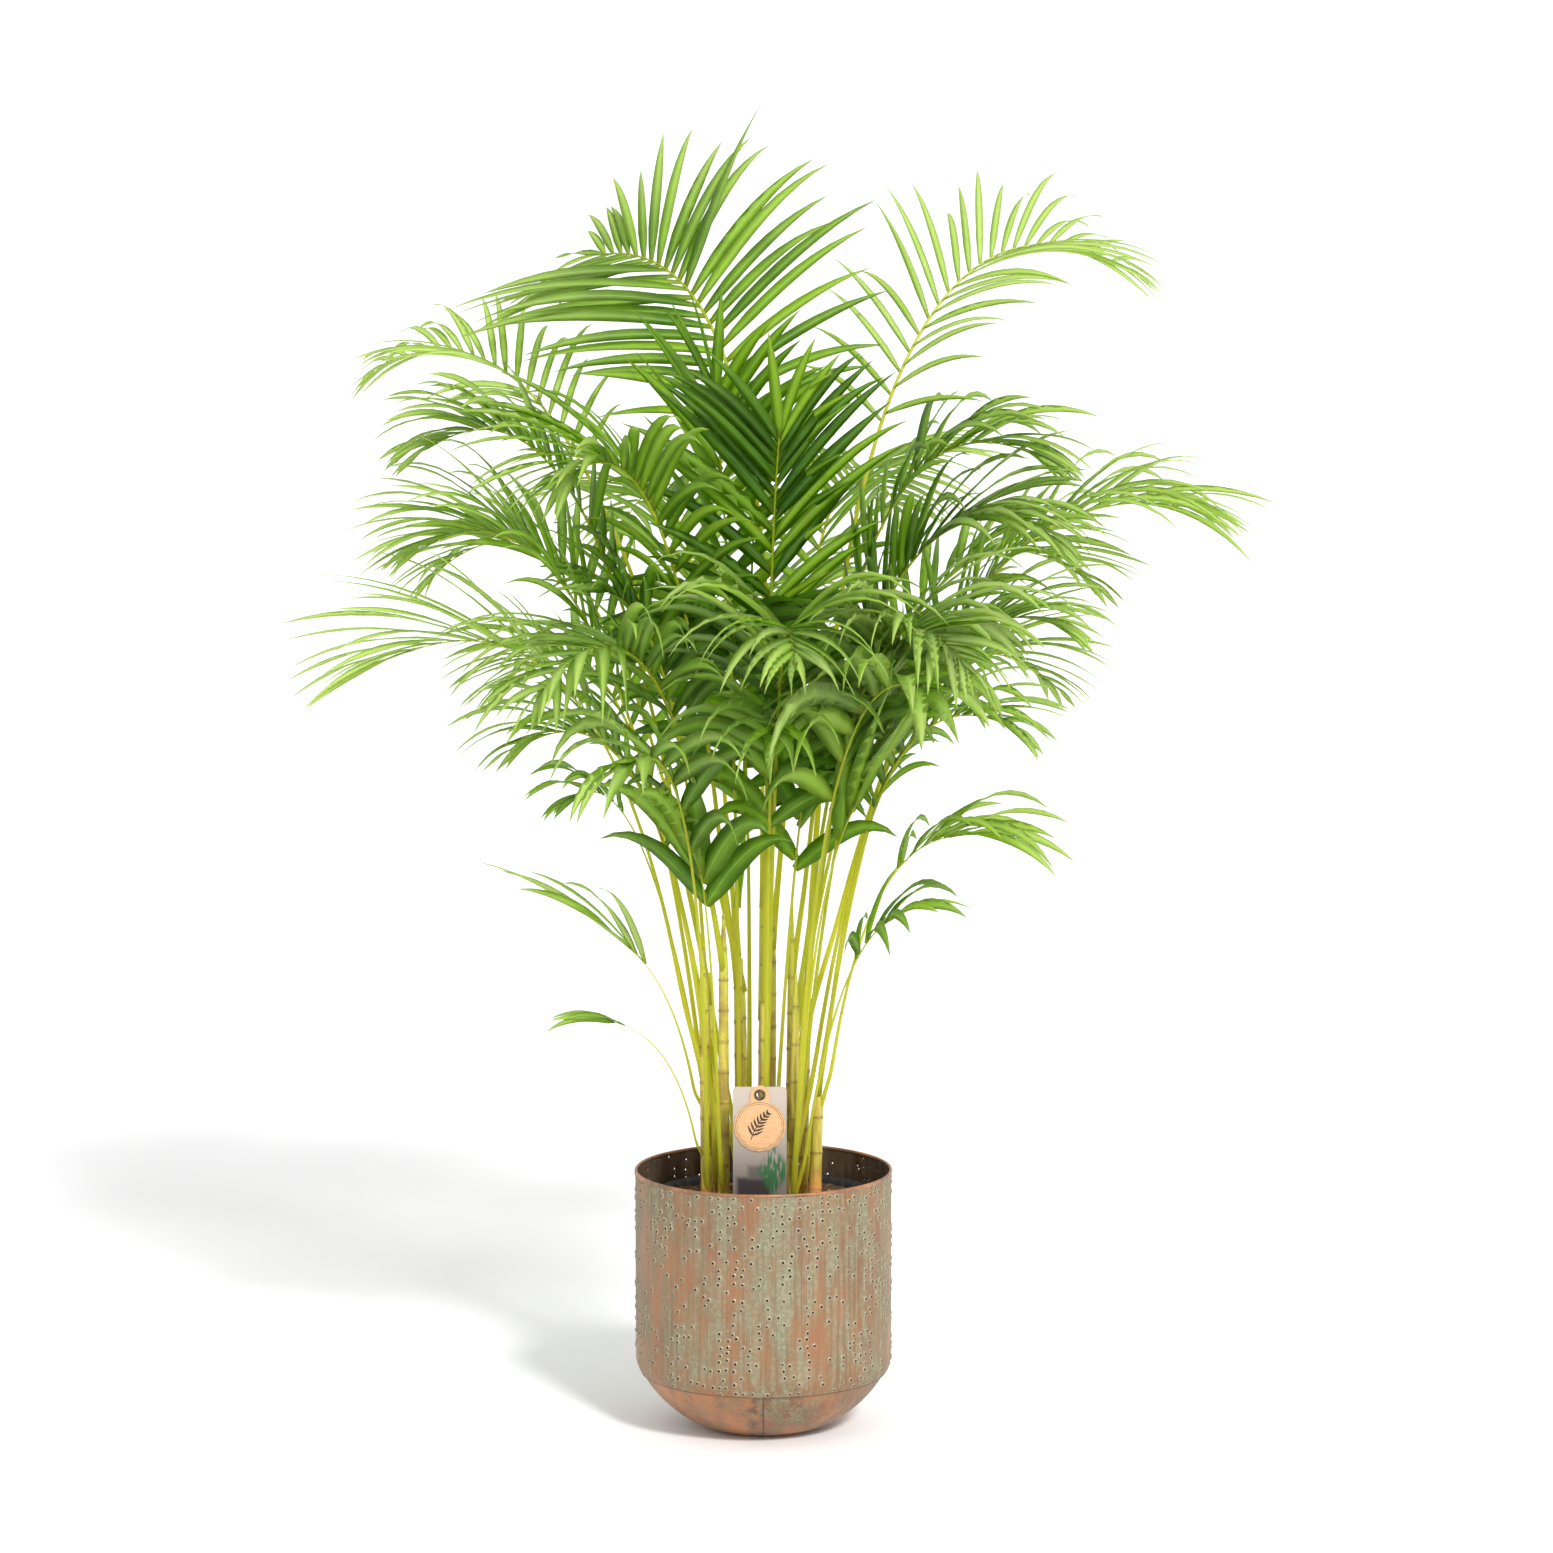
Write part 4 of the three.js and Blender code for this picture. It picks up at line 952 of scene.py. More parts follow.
# %% Frond table
# The stalk: name, cane, share of the cane's height it leaves at, knee (x, y, z over the soil), tip, radius.
# The comb: share of the curve where it begins, pairs, longest leaflet, its width, length at the tip as a
# share, spread, lift in degrees, droop, roll in degrees, and how late the droop comes (2 is evenly).
STALK_FIELDS = "name cane leaves_at knee tip radius"
COMB_FIELDS = "comb_from pairs longest width end spread lift droop roll fold"
Frond = namedtuple("Frond", STALK_FIELDS + " " + COMB_FIELDS)
FRONDS = [
    ("crown", 6, 0.95, (30, 60, 983), (-165, 200, 948), 3.4,
     0.46, 22, 250, 12.5, 0.28, 1.05, 8, 0.2, -42, 2.4),
    ("back_right_tall", 10, 0.9, (72, 130, 1088), (370, 260, 933), 2.9,
     0.42, 22, 175, 8, 0.3, 0.85, 20, 0.3, 25, 2.4),
    ("back_left_tall", 5, 0.9, (-165, 120, 963), (-392, 220, 830), 2.8,
     0.43, 20, 150, 8, 0.3, 0.85, 20, 0.35, -20, 2.4),
    ("left_dark", 3, 0.9, (-150, 40, 878), (-330, 30, 768), 2.5,
     0.4, 18, 190, 13, 0.3, 0.8, 20, 0.35, 0, 2.4),
    ("left_fine", 4, 0.06, (-140, -25, 778), (-330, -10, 673), 2.5,
     0.4, 24, 210, 9, 0.3, 0.62, 20, 0.35, 0, 2.4),
    ("left_far", 1, 0.45, (-135, -30, 648), (-350, -80, 573), 2.4,
     0.42, 12, 230, 9, 0.55, 0.5, 20, 0.25, 0, 2.4),
    ("left_low", 2, 0.14, (-85, -60, 558), (-230, -120, 488), 2.4,
     0.4, 13, 180, 12, 0.3, 0.75, 20, 0.45, 0, 2.4),
    ("left_slender", 3, 0.35, (-115, 22, 448), (-185, 30, 413), 1.7,
     0.66, 5, 130, 11, 0.3, 0.75, 20, 0.5, 0, 2.4),
    ("left_lowest", 1, 0.35, (-84, -6, 218), (-134, -30, 265), 1.7,
     0.8, 2, 185, 11, 0.9, 0.5, 20, 0.3, 0, 2.4),
    ("sprout", 1, 0.15, (-82, -28, 173), (-150, -45, 193), 1.3,
     0.85, 1, 75, 7, 1, 0.3, 20, 0.35, 0, 2.4),
    ("right_low", 9, 0.7, (92, -15, 368), (190, -35, 380), 2,
     0.66, 5, 175, 13, 0.8, 0.75, 20, 0.5, 0, 2.4),
    ("right_lowest", 8, 0.006, (66, -58, 268), (128, -80, 303), 2,
     0.66, 4, 125, 14, 0.8, 0.75, 20, 0.5, 0, 2.4),
    ("right_reach", 9, 0.95, (95, -60, 568), (240, -105, 503), 2.4,
     0.4, 13, 165, 13, 0.3, 0.75, 20, 0.5, 0, 2.4),
    ("right_broad", 8, 0.14, (46, -70, 338), (92, -110, 423), 2.2,
     0.74, 2, 190, 27, 0.8, 0.3, 20, 0.12, 0, 2.4),
    ("right_mid", 12, 0.03, (110, -8, 648), (280, -40, 598), 2.5,
     0.38, 20, 195, 10, 0.3, 0.68, 20, 0.45, 0, 2.4),
    ("right_dense", 12, 0.5, (80, -30, 773), (265, -70, 693), 2.5,
     0.36, 24, 205, 12, 0.3, 0.7, 20, 0.45, 0, 2.4),
    ("right_far", 10, 0.7, (165, 30, 753), (420, 60, 703), 2.5,
     0.4, 24, 235, 9, 0.3, 0.72, 20, 0.42, 0, 2.4),
    ("right_upper", 12, 0.7, (70, 20, 853), (270, 40, 758), 2.5,
     0.38, 20, 190, 12, 0.3, 0.75, 20, 0.45, 0, 2.4),
    ("front_fan", 6, 0.6, (4, -60, 648), (16, -110, 788), 2.5,
     0.46, 12, 190, 15, 0.6, 0.8, 20, 0.22, 0, 2.4),
    ("front_fan_left", 4, 0.006, (-26, -30, 628), (-48, -70, 828), 2.5,
     0.5, 12, 185, 15, 0.6, 0.75, 20, 0.2, 0, 2.4),
    ("front_left_broad", 2, 0.006, (-50, -70, 288), (-62, -100, 353), 2.2,
     0.74, 2, 165, 25, 0.9, 0.55, 8, 0.42, 0, 3),
    ("front_high", 6, 0.14, (14, -130, 718), (30, -300, 598), 2.5,
     0.42, 18, 195, 14, 0.3, 0.85, 20, 0.6, 0, 3),
    ("front_mid", 6, 0.006, (6, -105, 558), (12, -215, 513), 2.5,
     0.45, 7, 165, 24, 0.5, 0.85, 20, 1, 0, 3.4),
    ("back_left", 5, 0.7, (-60, 160, 848), (-150, 380, 648), 2.5,
     0.36, 20, 195, 11, 0.3, 0.75, 20, 0.35, 0, 2.4),
    ("back_right", 7, 0.9, (50, 170, 868), (140, 400, 668), 2.5,
     0.36, 20, 195, 11, 0.3, 0.75, 20, 0.35, 0, 2.4),
    ("back", 11, 0.9, (0, 180, 728), (0, 430, 538), 2.5,
     0.34, 20, 185, 11, 0.3, 0.75, 20, 0.35, 0, 2.4),
    ("back_left_low", 3, 0.006, (-110, 140, 668), (-270, 260, 498), 2.5,
     0.36, 18, 175, 11, 0.3, 0.75, 20, 0.35, 0, 2.4),
    ("back_right_low", 10, 0.006, (115, 120, 668), (290, 250, 503), 2.5,
     0.36, 18, 175, 11, 0.3, 0.75, 20, 0.35, 0, 2.4),
    ("left_front_high", 4, 0.7, (-75, -55, 848), (-190, -150, 753), 2.5,
     0.38, 20, 195, 13, 0.3, 0.75, 20, 0.4, 0, 2.4),
    ("right_front", 12, 0.18, (78, -125, 728), (190, -270, 588), 2.5,
     0.38, 18, 185, 14, 0.3, 0.75, 20, 0.65, 0, 3),
    ("left_front", 2, 0.8, (-85, -110, 698), (-210, -250, 558), 2.5,
     0.38, 18, 185, 13, 0.3, 0.75, 20, 0.6, 0, 3),
    ("front_low_left", 1, 0.006, (-55, -120, 518), (-125, -225, 483), 2.2,
     0.45, 6, 160, 20, 0.6, 0.75, 20, 0.9, 0, 3.4),
    ("front_low_right", 8, 0.006, (48, -135, 588), (150, -240, 558), 2.3,
     0.44, 8, 185, 25, 0.5, 0.75, 20, 1, 0, 3.4),
    ("right_back_mid", 7, 0.006, (100, 130, 778), (325, 200, 618), 2.5,
     0.38, 18, 190, 11, 0.3, 0.75, 20, 0.35, 0, 2.4),
    ("left_back_mid", 5, 0.006, (-125, 90, 798), (-330, 180, 628), 2.5,
     0.38, 18, 190, 11, 0.3, 0.75, 20, 0.35, 0, 2.4),
    ("center_dark", 4, 0.006, (-10, 10, 528), (-30, -60, 588), 2.5,
     0.46, 14, 185, 20, 0.6, 1, 20, 0.5, 0, 2.4),
    ("center_low", 6, 0.006, (30, -30, 408), (50, -90, 483), 2.2,
     0.5, 5, 170, 23, 0.7, 0.6, 10, 0.7, 0, 3.4),
    ("right_hang", 12, 0.006, (75, -70, 568), (150, -150, 568), 2.2,
     0.5, 8, 195, 24, 0.6, 0.8, 20, 1, 0, 3.2),
    ("left_inner", 3, 0.006, (-60, -10, 588), (-150, -60, 628), 2.5,
     0.44, 14, 190, 16, 0.3, 0.8, 20, 0.45, 0, 2.4),
    ("spear", 4, 0.98, (-18, 16, 528), (-6, 26, 758), 3,
     1, 0, 0, 11, 0.3, 0.75, 20, 0.35, 0, 2.4),
]
FRONDS = [Frond(*row) for row in FRONDS]
print("fronds:", len(FRONDS), "with", sum(row.pairs for row in FRONDS), "pairs of leaflets")

# %% Stalks
STALK_GAP = 0.6
STALK_STATIONS, STALK_SIDES = 34, 8
STALK_ROOT = -0.006  # the tube starts a little before its foot, down in the soil or the cane
STALK_TAPER = 0.74
SHEATH = 0.11  # share of the stalk that still wraps its cane
SHEATH_SWELL = 0.50
CHANNEL = 0.28  # how much flatter the upper side is


def cane_at(frond):
    """The middle of the frond's cane at the height it leaves, and the cane's radius there."""
    cane, share = CANES[frond.cane - 1], frond.leaves_at
    middle = [cane.x + cane.lean_x * share, cane.y + cane.lean_y * share, SOIL_TOP + cane.height * share]
    return np.array(middle), cane.foot * (1 - CANE_TAPER * share)


def stalk_points(frond):
    """The three control points of a stalk: beside its cane, knee and tip."""
    knee = np.array(frond.knee, float) + [0, 0, SOIL_TOP]
    tip = np.array(frond.tip, float) + [0, 0, SOIL_TOP]
    middle, radius = cane_at(frond)
    away = unit(np.array([knee[0] - middle[0], knee[1] - middle[1], 0]))
    return middle + away * (radius + frond.radius + STALK_GAP), knee, tip


def stalk_frame(frond, t):
    """Place, forwards, up and side at shares t of the stalk. Forwards is the curve's slope. Up is the
    outside of its bend, made square to forwards, and both are turned by the blade's roll."""
    foot, knee, tip = stalk_points(frond)
    t = np.asarray(t, float)[:, None]
    forwards = unit((1 - t) * (knee - foot) + t * (tip - knee))
    bend = foot - 2 * knee + tip
    up = -unit(bend - (forwards @ bend)[:, None] * forwards)
    side = np.cross(forwards, up)
    cosine, sine = math.cos(math.radians(frond.roll)), math.sin(math.radians(frond.roll))
    return bent_line(t, foot, knee, tip), forwards, up * cosine + side * sine, side * cosine - up * sine


def stalk_tube(frond):
    """A channelled tube: its radius shrinks along the stalk, and its upper side is flatter. Its first part
    is pulled in towards the middle of the cane, because the foot of a frond is a sheath round the cane."""
    t = np.linspace(STALK_ROOT, 1, STALK_STATIONS)
    at, _, up, side = stalk_frame(frond, t)
    inwards = cane_at(frond)[0] - stalk_points(frond)[0]
    at = at + inwards * (1 - smooth_step(t, STALK_ROOT, SHEATH))[:, None]
    a = around(STALK_SIDES)
    radius = frond.radius * (1 - STALK_TAPER * t) * (1 + SHEATH_SWELL * np.exp(-np.maximum(t, 0) / SHEATH))
    squash = 1 - CHANNEL * np.clip(np.sin(a), 0, 1) ** 2
    circle = np.cos(a)[None, :, None] * side[:, None] + np.sin(a)[None, :, None] * up[:, None]
    points = at[:, None] + radius[:, None, None] * squash[None, :, None] * circle
    caps = np.array([[3, 2, 1, 0], [7, 4, 3, 0], [7, 6, 5, 4]])
    last = (STALK_STATIONS - 1) * STALK_SIDES
    tube = grid_faces(STALK_STATIONS, STALK_SIDES, False, True)[:, ::-1]
    uv = np.stack(np.broadcast_arrays(np.abs(np.linspace(-1, 1, STALK_SIDES))[None], t[:, None]), -1)
    return points.reshape(-1, 3), np.concatenate([tube, caps[:, ::-1], caps + last]), uv.reshape(-1, 2)


print("control points of the crown's stalk:", *(point.round(1) for point in stalk_points(FRONDS[0])))

# %% Leaflets
BLADE_STATIONS = 10
LOW_ANGLE, ANGLE_FALL, END_ANGLE = 66, 22, 14  # degrees from the stalk
STAGGER = 0.012  # the two sides of the comb start this far apart
BLADE_VEE = 0.30
BLADE_SKIN = 0.22  # half a blade's thickness


def blade_width(q):
    """Narrow where it joins the stalk, a long even strap, then a fine point."""
    rise = 0.35 + 0.65 * smooth_step(q, -0.05, 0.22)
    fall = 1 - np.clip((q - 0.42) / 0.58, 0, 1) ** 1.8
    return np.maximum(rise * fall, 0.02)


def comb(frond):
    """For every leaflet of a frond: its share of the comb, its hand, its share of the longest, its angle.
    Lengths rise to the comb's middle and fall to its tip, where a last pair runs nearly straight on."""
    share = np.repeat((np.arange(frond.pairs) + 0.5) / frond.pairs, 2)
    hand = np.tile([1.0, -1.0], frond.pairs)
    rising = 0.62 + 0.38 * np.sin(np.pi / 2 * np.minimum(1, share / 0.75) ** 0.8)
    falling = 1 - (1 - frond.end) * (np.clip(share - 0.4, 0, 1) / 0.6) ** 1.6
    size = np.where(share < 0.4, rising, falling)
    angle = np.radians((LOW_ANGLE - ANGLE_FALL * share) * frond.spread)
    share, hand = np.append(share, [1.0, 1.0]), np.append(hand, [1.0, -1.0])
    size = np.append(size, [frond.end, frond.end])
    return share, hand, size, np.append(angle, np.radians([END_ANGLE, END_ANGLE]) * frond.spread)


def blade_sections(width, size, hand, run, forwards, twist):
    """The four points round each station of each leaflet, off its middle line: a shallow V with a skin."""
    q = np.linspace(0, 1, BLADE_STATIONS)
    flat = unit(forwards[:, None] - (forwards[:, None] * run).sum(-1, keepdims=True) * run)
    face = np.cross(run, flat)
    roll = (twist[:, None] * q[None])[..., None]
    wide = hand[:, None, None] * (flat * np.cos(roll) + face * np.sin(roll))
    face = np.cross(run, wide)
    half = (0.5 * (0.5 * width + 0.5 * width * size)[:, None] * blade_width(q)[None])[..., None]
    vee, skin = face * half * BLADE_VEE, face * BLADE_SKIN
    return np.stack([wide * half + vee, skin, -wide * half + vee, -skin], 2)


def leaflets(frond, seed):
    """All leaflets of one frond as one array: leaflet, station, four points of the section. A leaflet's
    line is a sum of short steps, whose heading turns down by droop q^(fold - 1) on its way."""
    rng = np.random.default_rng(seed)
    share, hand, size, angle = comb(frond)
    count = len(share)
    stagger = np.where(hand > 0, STAGGER, -STAGGER) / max(frond.pairs / 8, 1)
    t = np.clip(frond.comb_from + (1 - frond.comb_from) * share**0.9 + stagger, 0, 1)
    at, forwards, up, side = stalk_frame(frond, t)
    length = frond.longest * size * rng.uniform(0.90, 1.05, count)
    angle = angle + np.radians(rng.normal(0, 1, count) * min(8, 8 * frond.droop))
    lift = np.radians(frond.lift + rng.normal(0, 1, count) * min(12, 4 + 12 * frond.droop))
    droop = frond.droop * rng.uniform(0.7, 1.4, count)
    twist = rng.normal(0, 0.45, count)
    out = (hand * np.cos(lift))[:, None] * side + np.sin(lift)[:, None] * up
    aim = np.cos(angle)[:, None] * forwards + np.sin(angle)[:, None] * out
    q = np.linspace(0, 1, BLADE_STATIONS)
    heading = np.repeat(aim[:, None], BLADE_STATIONS, 1)
    heading[..., 2] -= 2 * droop[:, None] * q[None] ** (frond.fold - 1)
    run = unit(heading)
    steps = (run[:, 1:] + run[:, :-1]) / 2 * (length / (BLADE_STATIONS - 1))[:, None, None]
    line = at[:, None] + np.concatenate([np.zeros((count, 1, 3)), np.cumsum(steps, 1)], 1)
    points = line[:, :, None] + blade_sections(frond.width, size, hand, run, forwards, twist)
    u, v = np.broadcast_arrays(np.array([1, 0.5, 0, 0.5]), q[None, :, None], points[..., 0])[:2]
    tone = np.repeat(rng.uniform(-1, 1, count), BLADE_STATIONS * 4)
    faces = repeat_faces(rod_faces(BLADE_STATIONS), count, BLADE_STATIONS * 4)
    return points.reshape(-1, 3), faces, np.stack([u, v], -1).reshape(-1, 2), tone


print("a leaflet has", len(rod_faces(BLADE_STATIONS)), "faces")

# %% [markdown]
# ## Leaf finish
#
# Every frond uses the same leaf group with its own greens. The surface's own coordinates run across and
# along each leaflet, so the group can draw fine ribs along the blade, a paler middle rib, and a dry tip on
# some of them. Each leaflet also carries one random tone. Leaf far from the plant's middle is painted paler,
# as painted light, and the inner leaves are left darker, as painted shade. A thin leaf lets light through,
# so the shader is mixed with a translucent one.

# %% Leaf group
YOUNG_GREEN = (0.40, 0.60, 0.03)
PAINTED_LIGHT_GREEN = (0.72, 0.84, 0.30)
DRY_TIP = (0.48, 0.36, 0.13)
RIBS = 9  # fine ribs across a blade


def leaf_group():
    """One colour for blades and one for stalks, chosen by the blade value, with the same two as a glow."""
    group, inp, out = new_group(
        "palm_leaf",
        [
            ("Dark", "Color", (0.03, 0.12, 0.01)),
            ("Light", "Color", (0.12, 0.33, 0.03)),
            ("Stalk", "Color", (0.50, 0.50, 0.06)),
        ],
        [("Colour", "Color"), ("Glow", "Color"), ("Roughness", "Float"), ("Height", "Float")],
    )
    across, along, _ = split(group, add(group, "ShaderNodeUVMap", uv_map="surface").outputs[0])
    tone, blade = point_value(group, "tone"), point_value(group, "blade")
    where = object_place(group)
    mottle = noise(group, where, 24, 4)
    rib = maths(group, "SINE", times(group, across, 2 * math.pi * RIBS))
    middle = ramp(group, away_from(group, across, 0.5), 0.07, 0.02)
    light = total(group, (tone, 0.26), (mottle, 0.9), (rib, 0.07), (middle, 0.26), (along, 0.12))
    colour = blend_colours(group, ramp(group, light, 0.12, 0.95), inp["Dark"], inp["Light"])
    colour = blend_colours(group, ramp(group, tone, 0.2, 0.95, 0, 0.75), colour, YOUNG_GREEN)
    dry = times(group, ramp(group, along, 0.90, 0.99), ramp(group, tone, 0.2, 0.7))
    colour = blend_colours(group, dry, colour, DRY_TIP)
    colour = blend_colours(group, times(group, ramp(group, along, 0.10, 0.0), 0.55), colour, inp["Stalk"])
    # Painted light: leaf far from the plant's middle, and towards its tip, is painted a paler green.
    flat = add(group, "ShaderNodeVectorMath", {0: where, 1: (1, 1, 0)}, operation="MULTIPLY").outputs[0]
    distance = add(group, "ShaderNodeVectorMath", {0: flat}, operation="LENGTH").outputs["Value"]
    outer = times(group, ramp(group, distance, 0.08, 0.36, 0, 0.80), ramp(group, along, 0.0, 0.7, 0.45, 1))
    colour = blend_colours(group, outer, colour, PAINTED_LIGHT_GREEN)
    fibre = noise(group, stretch(group, where, (1, 1, 0.1)), 300, 3)
    stalk = blend_colours(group, ramp(group, fibre, 0.4, 0.62, 0, 0.55), inp["Stalk"], (0.70, 0.50, 0.05))
    stalk = blend_colours(group, ramp(group, along, 0.25, 0.8, 0, 0.6), stalk, inp["Light"])
    glow = blend_colours(group, 0.5, colour, (0.55, 0.85, 0.02))
    group.links.new(blend_colours(group, blade, stalk, colour), out["Colour"])
    group.links.new(blend_colours(group, blade, (0.86, 0.88, 0.10), glow), out["Glow"])
    group.links.new(ramp(group, mottle, 0.3, 0.7, 0.36, 0.50), out["Roughness"])
    group.links.new(maths(group, "ADD", times(group, rib, blade), fibre), out["Height"])
    return group


PALM_LEAF = leaf_group()
print("palm leaf:", len(PALM_LEAF.nodes), "nodes")

# %% Leaf finishes
THROUGH = 0.58  # share of light that goes through a leaflet


def leaf_finish(name, dark, light, stalk=(0.57, 0.60, 0.05)):
    """The leaf group's colours on a shader that is mixed with a translucent one."""
    material, tree, shader = new_finish(name, specular_ior_level=0.5)
    leaf = use_group(tree, PALM_LEAF, {"Dark": dark, "Light": light, "Stalk": stalk})
    paint(tree, shader, leaf["Colour"], leaf["Roughness"])
    bump(tree, shader, leaf["Height"], 0.15, 0.0006)
    glow = add(tree, "ShaderNodeBsdfTranslucent", {"Color": leaf["Glow"]})
    both = add(tree, "ShaderNodeMixShader", {0: THROUGH, 1: shader.outputs[0], 2: glow.outputs[0]})
    tree.links.new(both.outputs[0], tree.nodes["Material Output"].inputs["Surface"])
    return material


LEAF_FINISHES = {
    "leaf_dark": leaf_finish("leaf_dark_green", (0.03, 0.11, 0.005), (0.19, 0.4, 0.022), (0.33, 0.42, 0.04)),
    "leaf_green": leaf_finish("leaf_mid_green", (0.085, 0.22, 0.01), (0.37, 0.59, 0.045), (0.47, 0.5, 0.05)),
    "leaf_bright": leaf_finish("leaf_bright_green", (0.18, 0.36, 0.014), (0.50, 0.69, 0.085)),
    # leaf_pale is the leaf painted as if lit from behind: its washed-out greens are painted light.
    "leaf_pale": leaf_finish("leaf_pale_green", (0.50, 0.66, 0.17), (0.80, 0.88, 0.42)),
}
LIME_BLADES = {"frond_right_broad": leaf_finish("leaf_lime", (0.20, 0.40, 0.008), (0.46, 0.70, 0.03))}
print("leaf finishes:", len(LEAF_FINISHES) + len(LIME_BLADES))


# %% Grow every frond
def whole_frond(frond, seed):
    """The stalk and its leaflets as one surface. A leaf that has not opened is a stalk painted as blade."""
    points, faces, uv = stalk_tube(frond)
    tone, blade = np.zeros(len(points)), np.full(len(points), float(frond.pairs == 0))
    if frond.pairs:
        leaf_points, leaf_faces, leaf_uv, leaf_tone = leaflets(frond, seed)
        points, faces = join([(points, faces), (leaf_points, leaf_faces)])
        uv = np.concatenate([uv, leaf_uv])
        tone, blade = np.append(tone, leaf_tone), np.append(blade, 0 * leaf_tone + 1)
    return points * MM, faces, uv, {"tone": tone, "blade": blade}


for number, frond in enumerate(FRONDS):
    node = "frond_" + frond.name
    piece = make_piece(frond.name + "_frond", *whole_frond(frond, 700 + number), sharp=None)
    place(piece, node, LIME_BLADES.get(node, LEAF_FINISHES[SLOTS[node]]))

# %% [markdown]
# ## Care card and hang tag
#
# The card is printed plastic: a soft beige fade with a few plain furniture-like blocks and a green tuft,
# drawn by the material from the card's own place. The tag is plain kraft board. Its print is a leaf
# emblem inside two rings, made as a very thin layer of ink that stands on the board. Neither has words.

# %% Card print
card_low, card_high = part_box("care_card")
CARD_MIDDLE = (card_low.x + card_high.x) / 2
CARD_FOOT = SOIL_TOP * MM
TUFT_AT = (0.014, 0.045)
# Plain blocks: middle (x, z) from the card's middle and the soil, half size, soft edge, colour.
CARD_BLOCKS = [
    ((-0.006, 0.028), (0.017, 0.010), 0.003, (0.045, 0.035, 0.035)),
    ((-0.004, 0.043), (0.008, 0.007), 0.003, (0.12, 0.10, 0.095)),
    ((-0.008, 0.013), (0.010, 0.006), 0.002, (0.05, 0.03, 0.025)),
]


def soft_block(tree, x, z, middle, half, edge):
    """1 inside a box of x and z, fading over the edge."""
    dx = maths(tree, "SUBTRACT", away_from(tree, x, CARD_MIDDLE + middle[0]), half[0])
    dz = maths(tree, "SUBTRACT", away_from(tree, z, CARD_FOOT + middle[1]), half[1])
    return ramp(tree, maths(tree, "MAXIMUM", dx, dz), edge, -edge)


def card_finish():
    """A fade from brown to beige, the blocks over it, and leaning streaks of green round one spot."""
    material, tree, shader = new_finish("card_print", roughness=0.32)
    where = object_place(tree)
    x, _, z = split(tree, where)
    fade = ramp(tree, z, CARD_FOOT + 0.02, card_high.z)
    colour = blend_colours(tree, fade, (0.20, 0.165, 0.14), (0.50, 0.42, 0.35))
    for middle, half, edge, ink in CARD_BLOCKS:
        colour = blend_colours(tree, soft_block(tree, x, z, middle, half, edge), colour, ink)
    tuft = noise(tree, stretch(tree, where, (1, 1, 0.22), (0, 0.35, 0)), 420, 3)
    away, up = away_from(tree, x, CARD_MIDDLE + TUFT_AT[0]), away_from(tree, z, CARD_FOOT + TUFT_AT[1])
    reach = maths(tree, "ADD", times(tree, away, 1.6), up)
    leafy = times(tree, ramp(tree, reach, 0.034, 0.020), ramp(tree, tuft, 0.40, 0.52))
    paint(tree, shader, blend_colours(tree, leafy, colour, (0.03, 0.12, 0.04)))
    return material


def repaint(node, material):
    """Gives a CAD node whose shape is right its finish."""
    shown = frame["nodes"][node]
    shown.data.materials.clear()
    shown.data.materials.append(material)
    print(node, "repainted with", material.name)


repaint("care_card", card_finish())


# %% Kraft board
def kraft_finish():
    """Brown board with short fibres and a faint mottle."""
    material, tree, shader = new_finish("kraft_board", roughness=0.85)
    where = object_place(tree)
    fibre = noise(tree, stretch(tree, where, (0.3, 1, 1), (0, 0.5, 0)), 900, 4)
    mottle = noise(tree, where, 120, 3)
    colour = blend_colours(tree, ramp(tree, fibre, 0.38, 0.64), (0.64, 0.36, 0.17), (0.74, 0.44, 0.22))
    colour = blend_colours(tree, ramp(tree, mottle, 0.4, 0.7, 0, 0.25), colour, (0.62, 0.40, 0.22))
    paint(tree, shader, colour)
    bump(tree, shader, fibre, 0.2, 0.0003)
    return material


repaint("hang_tag", kraft_finish())

# %% Ink of the tag
tag_low, tag_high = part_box("hang_tag")
TAG_RADIUS = (tag_high.x - tag_low.x) / 2 / MM
TAG_MIDDLE = np.array([(tag_low.x + tag_high.x) / 2 / MM, tag_low.z / MM + TAG_RADIUS])
TAG_FRONT = tag_low.y / MM
INK = 0.06
INK_GAP = 0.005  # keeps the ink's back skin off the board
RINGS = [(1.8, 0.45), (3.6, 0.30)]  # distance in from the tag's edge, and width
STEM = np.array([[-9, -14], [-3, 4], [9, 14]])
STEM_POINTS = 16
BLADE_PAIRS = 7


def ink_ribbon(line, width, closed=False):
    """A flat ribbon round a line of (x, z) points: each point moved half a width to either side, with a
    front skin and a back one a hair apart."""
    slope = np.roll(line, -1, 0) - np.roll(line, 1, 0) if closed else np.gradient(line, axis=0)
    across = unit(np.stack([-slope[:, 1], slope[:, 0]], 1)) * np.broadcast_to(width, len(line))[:, None] / 2
    front, back = TAG_FRONT - INK, TAG_FRONT - INK_GAP
    corners = [(line + across, front), (line - across, front), (line - across, back), (line + across, back)]
    points = np.stack([np.stack([c[:, 0], np.full(len(c), y), c[:, 1]], 1) for c, y in corners], 1)
    faces = grid_faces(len(line), 4, True, True) if closed else rod_faces(len(line))
    return points.reshape(-1, 3), faces


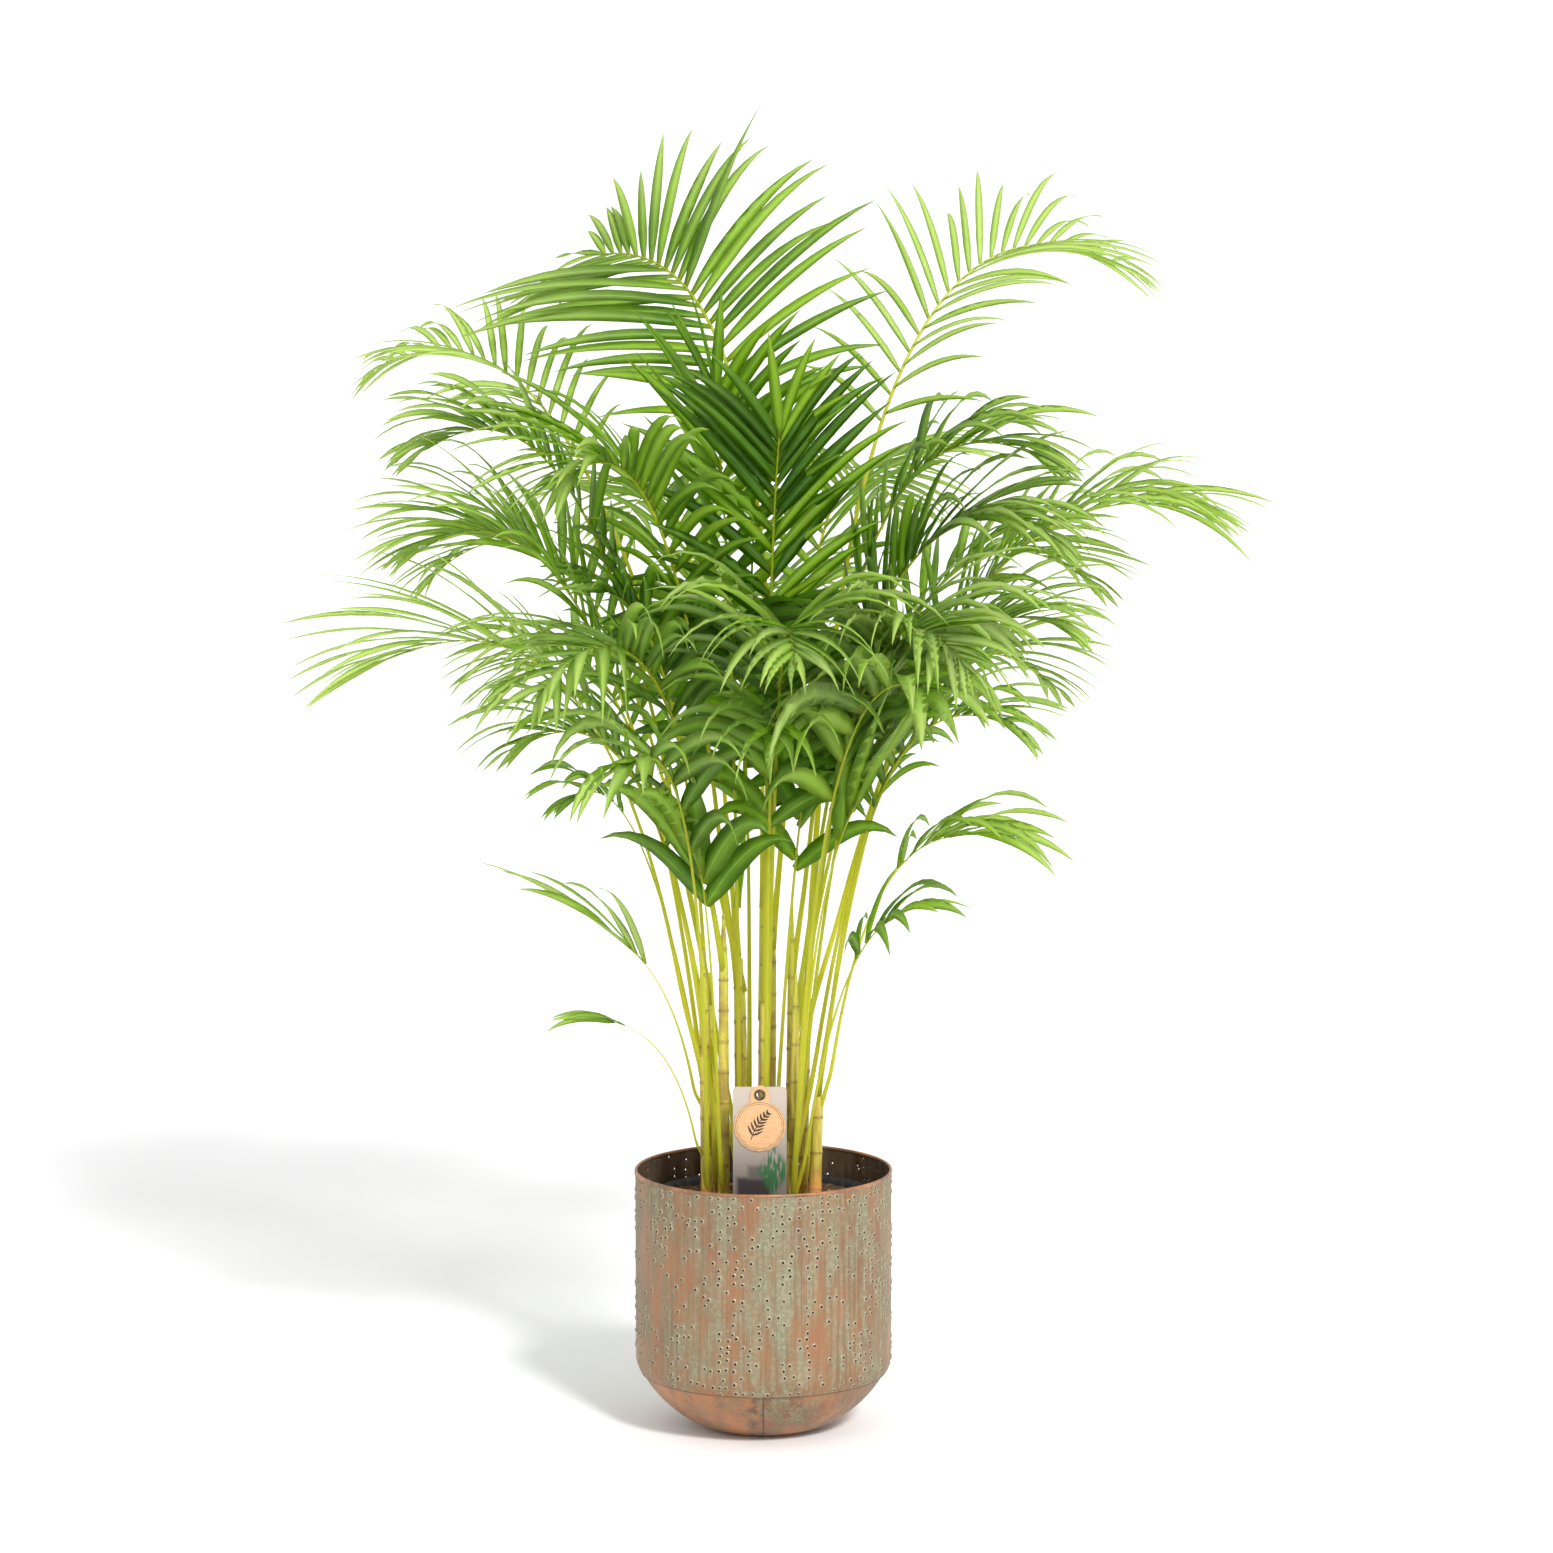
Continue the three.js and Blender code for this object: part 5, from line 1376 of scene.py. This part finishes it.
def tag_emblem():
    """Two rings, and inside them a leaf: a bent stem with seven pairs of blades that shrink to its tip.
    A blade is a curve: its own way out, and a little of the stem's way that grows with its square."""
    circle = np.stack([np.cos(around(96)), np.sin(around(96))], 1)
    strokes = [ink_ribbon(TAG_MIDDLE + circle * (TAG_RADIUS - inset), wide, True) for inset, wide in RINGS]
    stem = bent_line(np.linspace(0, 1, STEM_POINTS)[:, None], *STEM)
    strokes.append(ink_ribbon(TAG_MIDDLE + stem, 0.9))
    q = np.linspace(0, 1, 9)[:, None]
    width = 0.25 + 1.9 * np.sin(np.pi * q[:, 0] ** 0.8)
    for pair in range(1, BLADE_PAIRS + 1):
        foot = stem[2 * pair]
        ahead = unit(stem[2 * pair + 1] - stem[2 * pair - 1])
        for hand in (1, -1):
            out = unit(ahead * 0.75 + hand * np.array([-ahead[1], ahead[0]]))
            blade = foot + (11.5 - 1.05 * pair) * (q * out + 0.18 * q**2 * ahead)
            strokes.append(ink_ribbon(TAG_MIDDLE + blade, width))
    return join(strokes)


def ink_finish():
    """Brown ink that is worn thin in places."""
    material, tree, shader = new_finish("brown_ink", roughness=0.7)
    grain = noise(tree, object_place(tree), 700, 3)
    thin = ramp(tree, grain, 0.5, 0.8)
    paint(tree, shader, blend_colours(tree, thin, (0.035, 0.02, 0.012), (0.16, 0.09, 0.05)))
    return material


ink_points, ink_faces = tag_emblem()
emblem = make_piece("tag_emblem", ink_points * MM, ink_faces, sharp=math.radians(30))
emblem.data.materials.append(ink_finish())
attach(emblem, "root")
print("emblem", len(ink_faces), "faces")

# %% [markdown]
# ## Eyelet
#
# The eyelet is a thin metal tube that was rolled over at both ends. Its profile is one closed loop: the
# bore, a round roll in front, the barrel through both holes, and a roll behind.

# %% Eyelet
eye_low, eye_high = node_box("eyelet")
EYE_BORE = 3.25
EYE_BARREL = EYE_BORE + 0.7
EYE_ROLL = 0.6  # how deep each roll is


def rolled_eyelet():
    """The closed profile, given as radius and depth, turned about the hole's axis, which runs along Y."""
    front, back = eye_low[1], eye_high[1]
    half = ((eye_high[0] - eye_low[0]) / 2 - EYE_BORE) / 2
    a = np.linspace(0, np.pi, 9)
    roll_front = np.stack([EYE_BORE + half - half * np.cos(a), front + EYE_ROLL - EYE_ROLL * np.sin(a)], 1)
    roll_back = np.stack([EYE_BORE + half + half * np.cos(a), back - EYE_ROLL + EYE_ROLL * np.sin(a)], 1)
    barrel = [[EYE_BARREL, front + EYE_ROLL + 0.02], [EYE_BARREL, back - EYE_ROLL - 0.02]]
    points, faces = turned(np.concatenate([roll_front, barrel, roll_back]), 48)
    x, z, depth = points[..., 0], points[..., 1], points[..., 2]
    middle = (eye_low + eye_high) / 2
    return np.stack([middle[0] + x, depth, middle[2] + z], -1) * MM, faces[:, ::-1]


def bronze_finish():
    """Dark metal, duller where it is tarnished."""
    material, tree, shader = new_finish("dark_bronze", metallic=1.0)
    tarnish = noise(tree, object_place(tree), 500, 4)
    colour = blend_colours(tree, ramp(tree, tarnish, 0.4, 0.7), (0.16, 0.12, 0.08), (0.05, 0.04, 0.03))
    paint(tree, shader, colour, ramp(tree, tarnish, 0.3, 0.7, 0.25, 0.5))
    return material


eye_points, eye_faces = rolled_eyelet()
place(make_piece("rolled_eyelet", eye_points, eye_faces), "eyelet", bronze_finish())
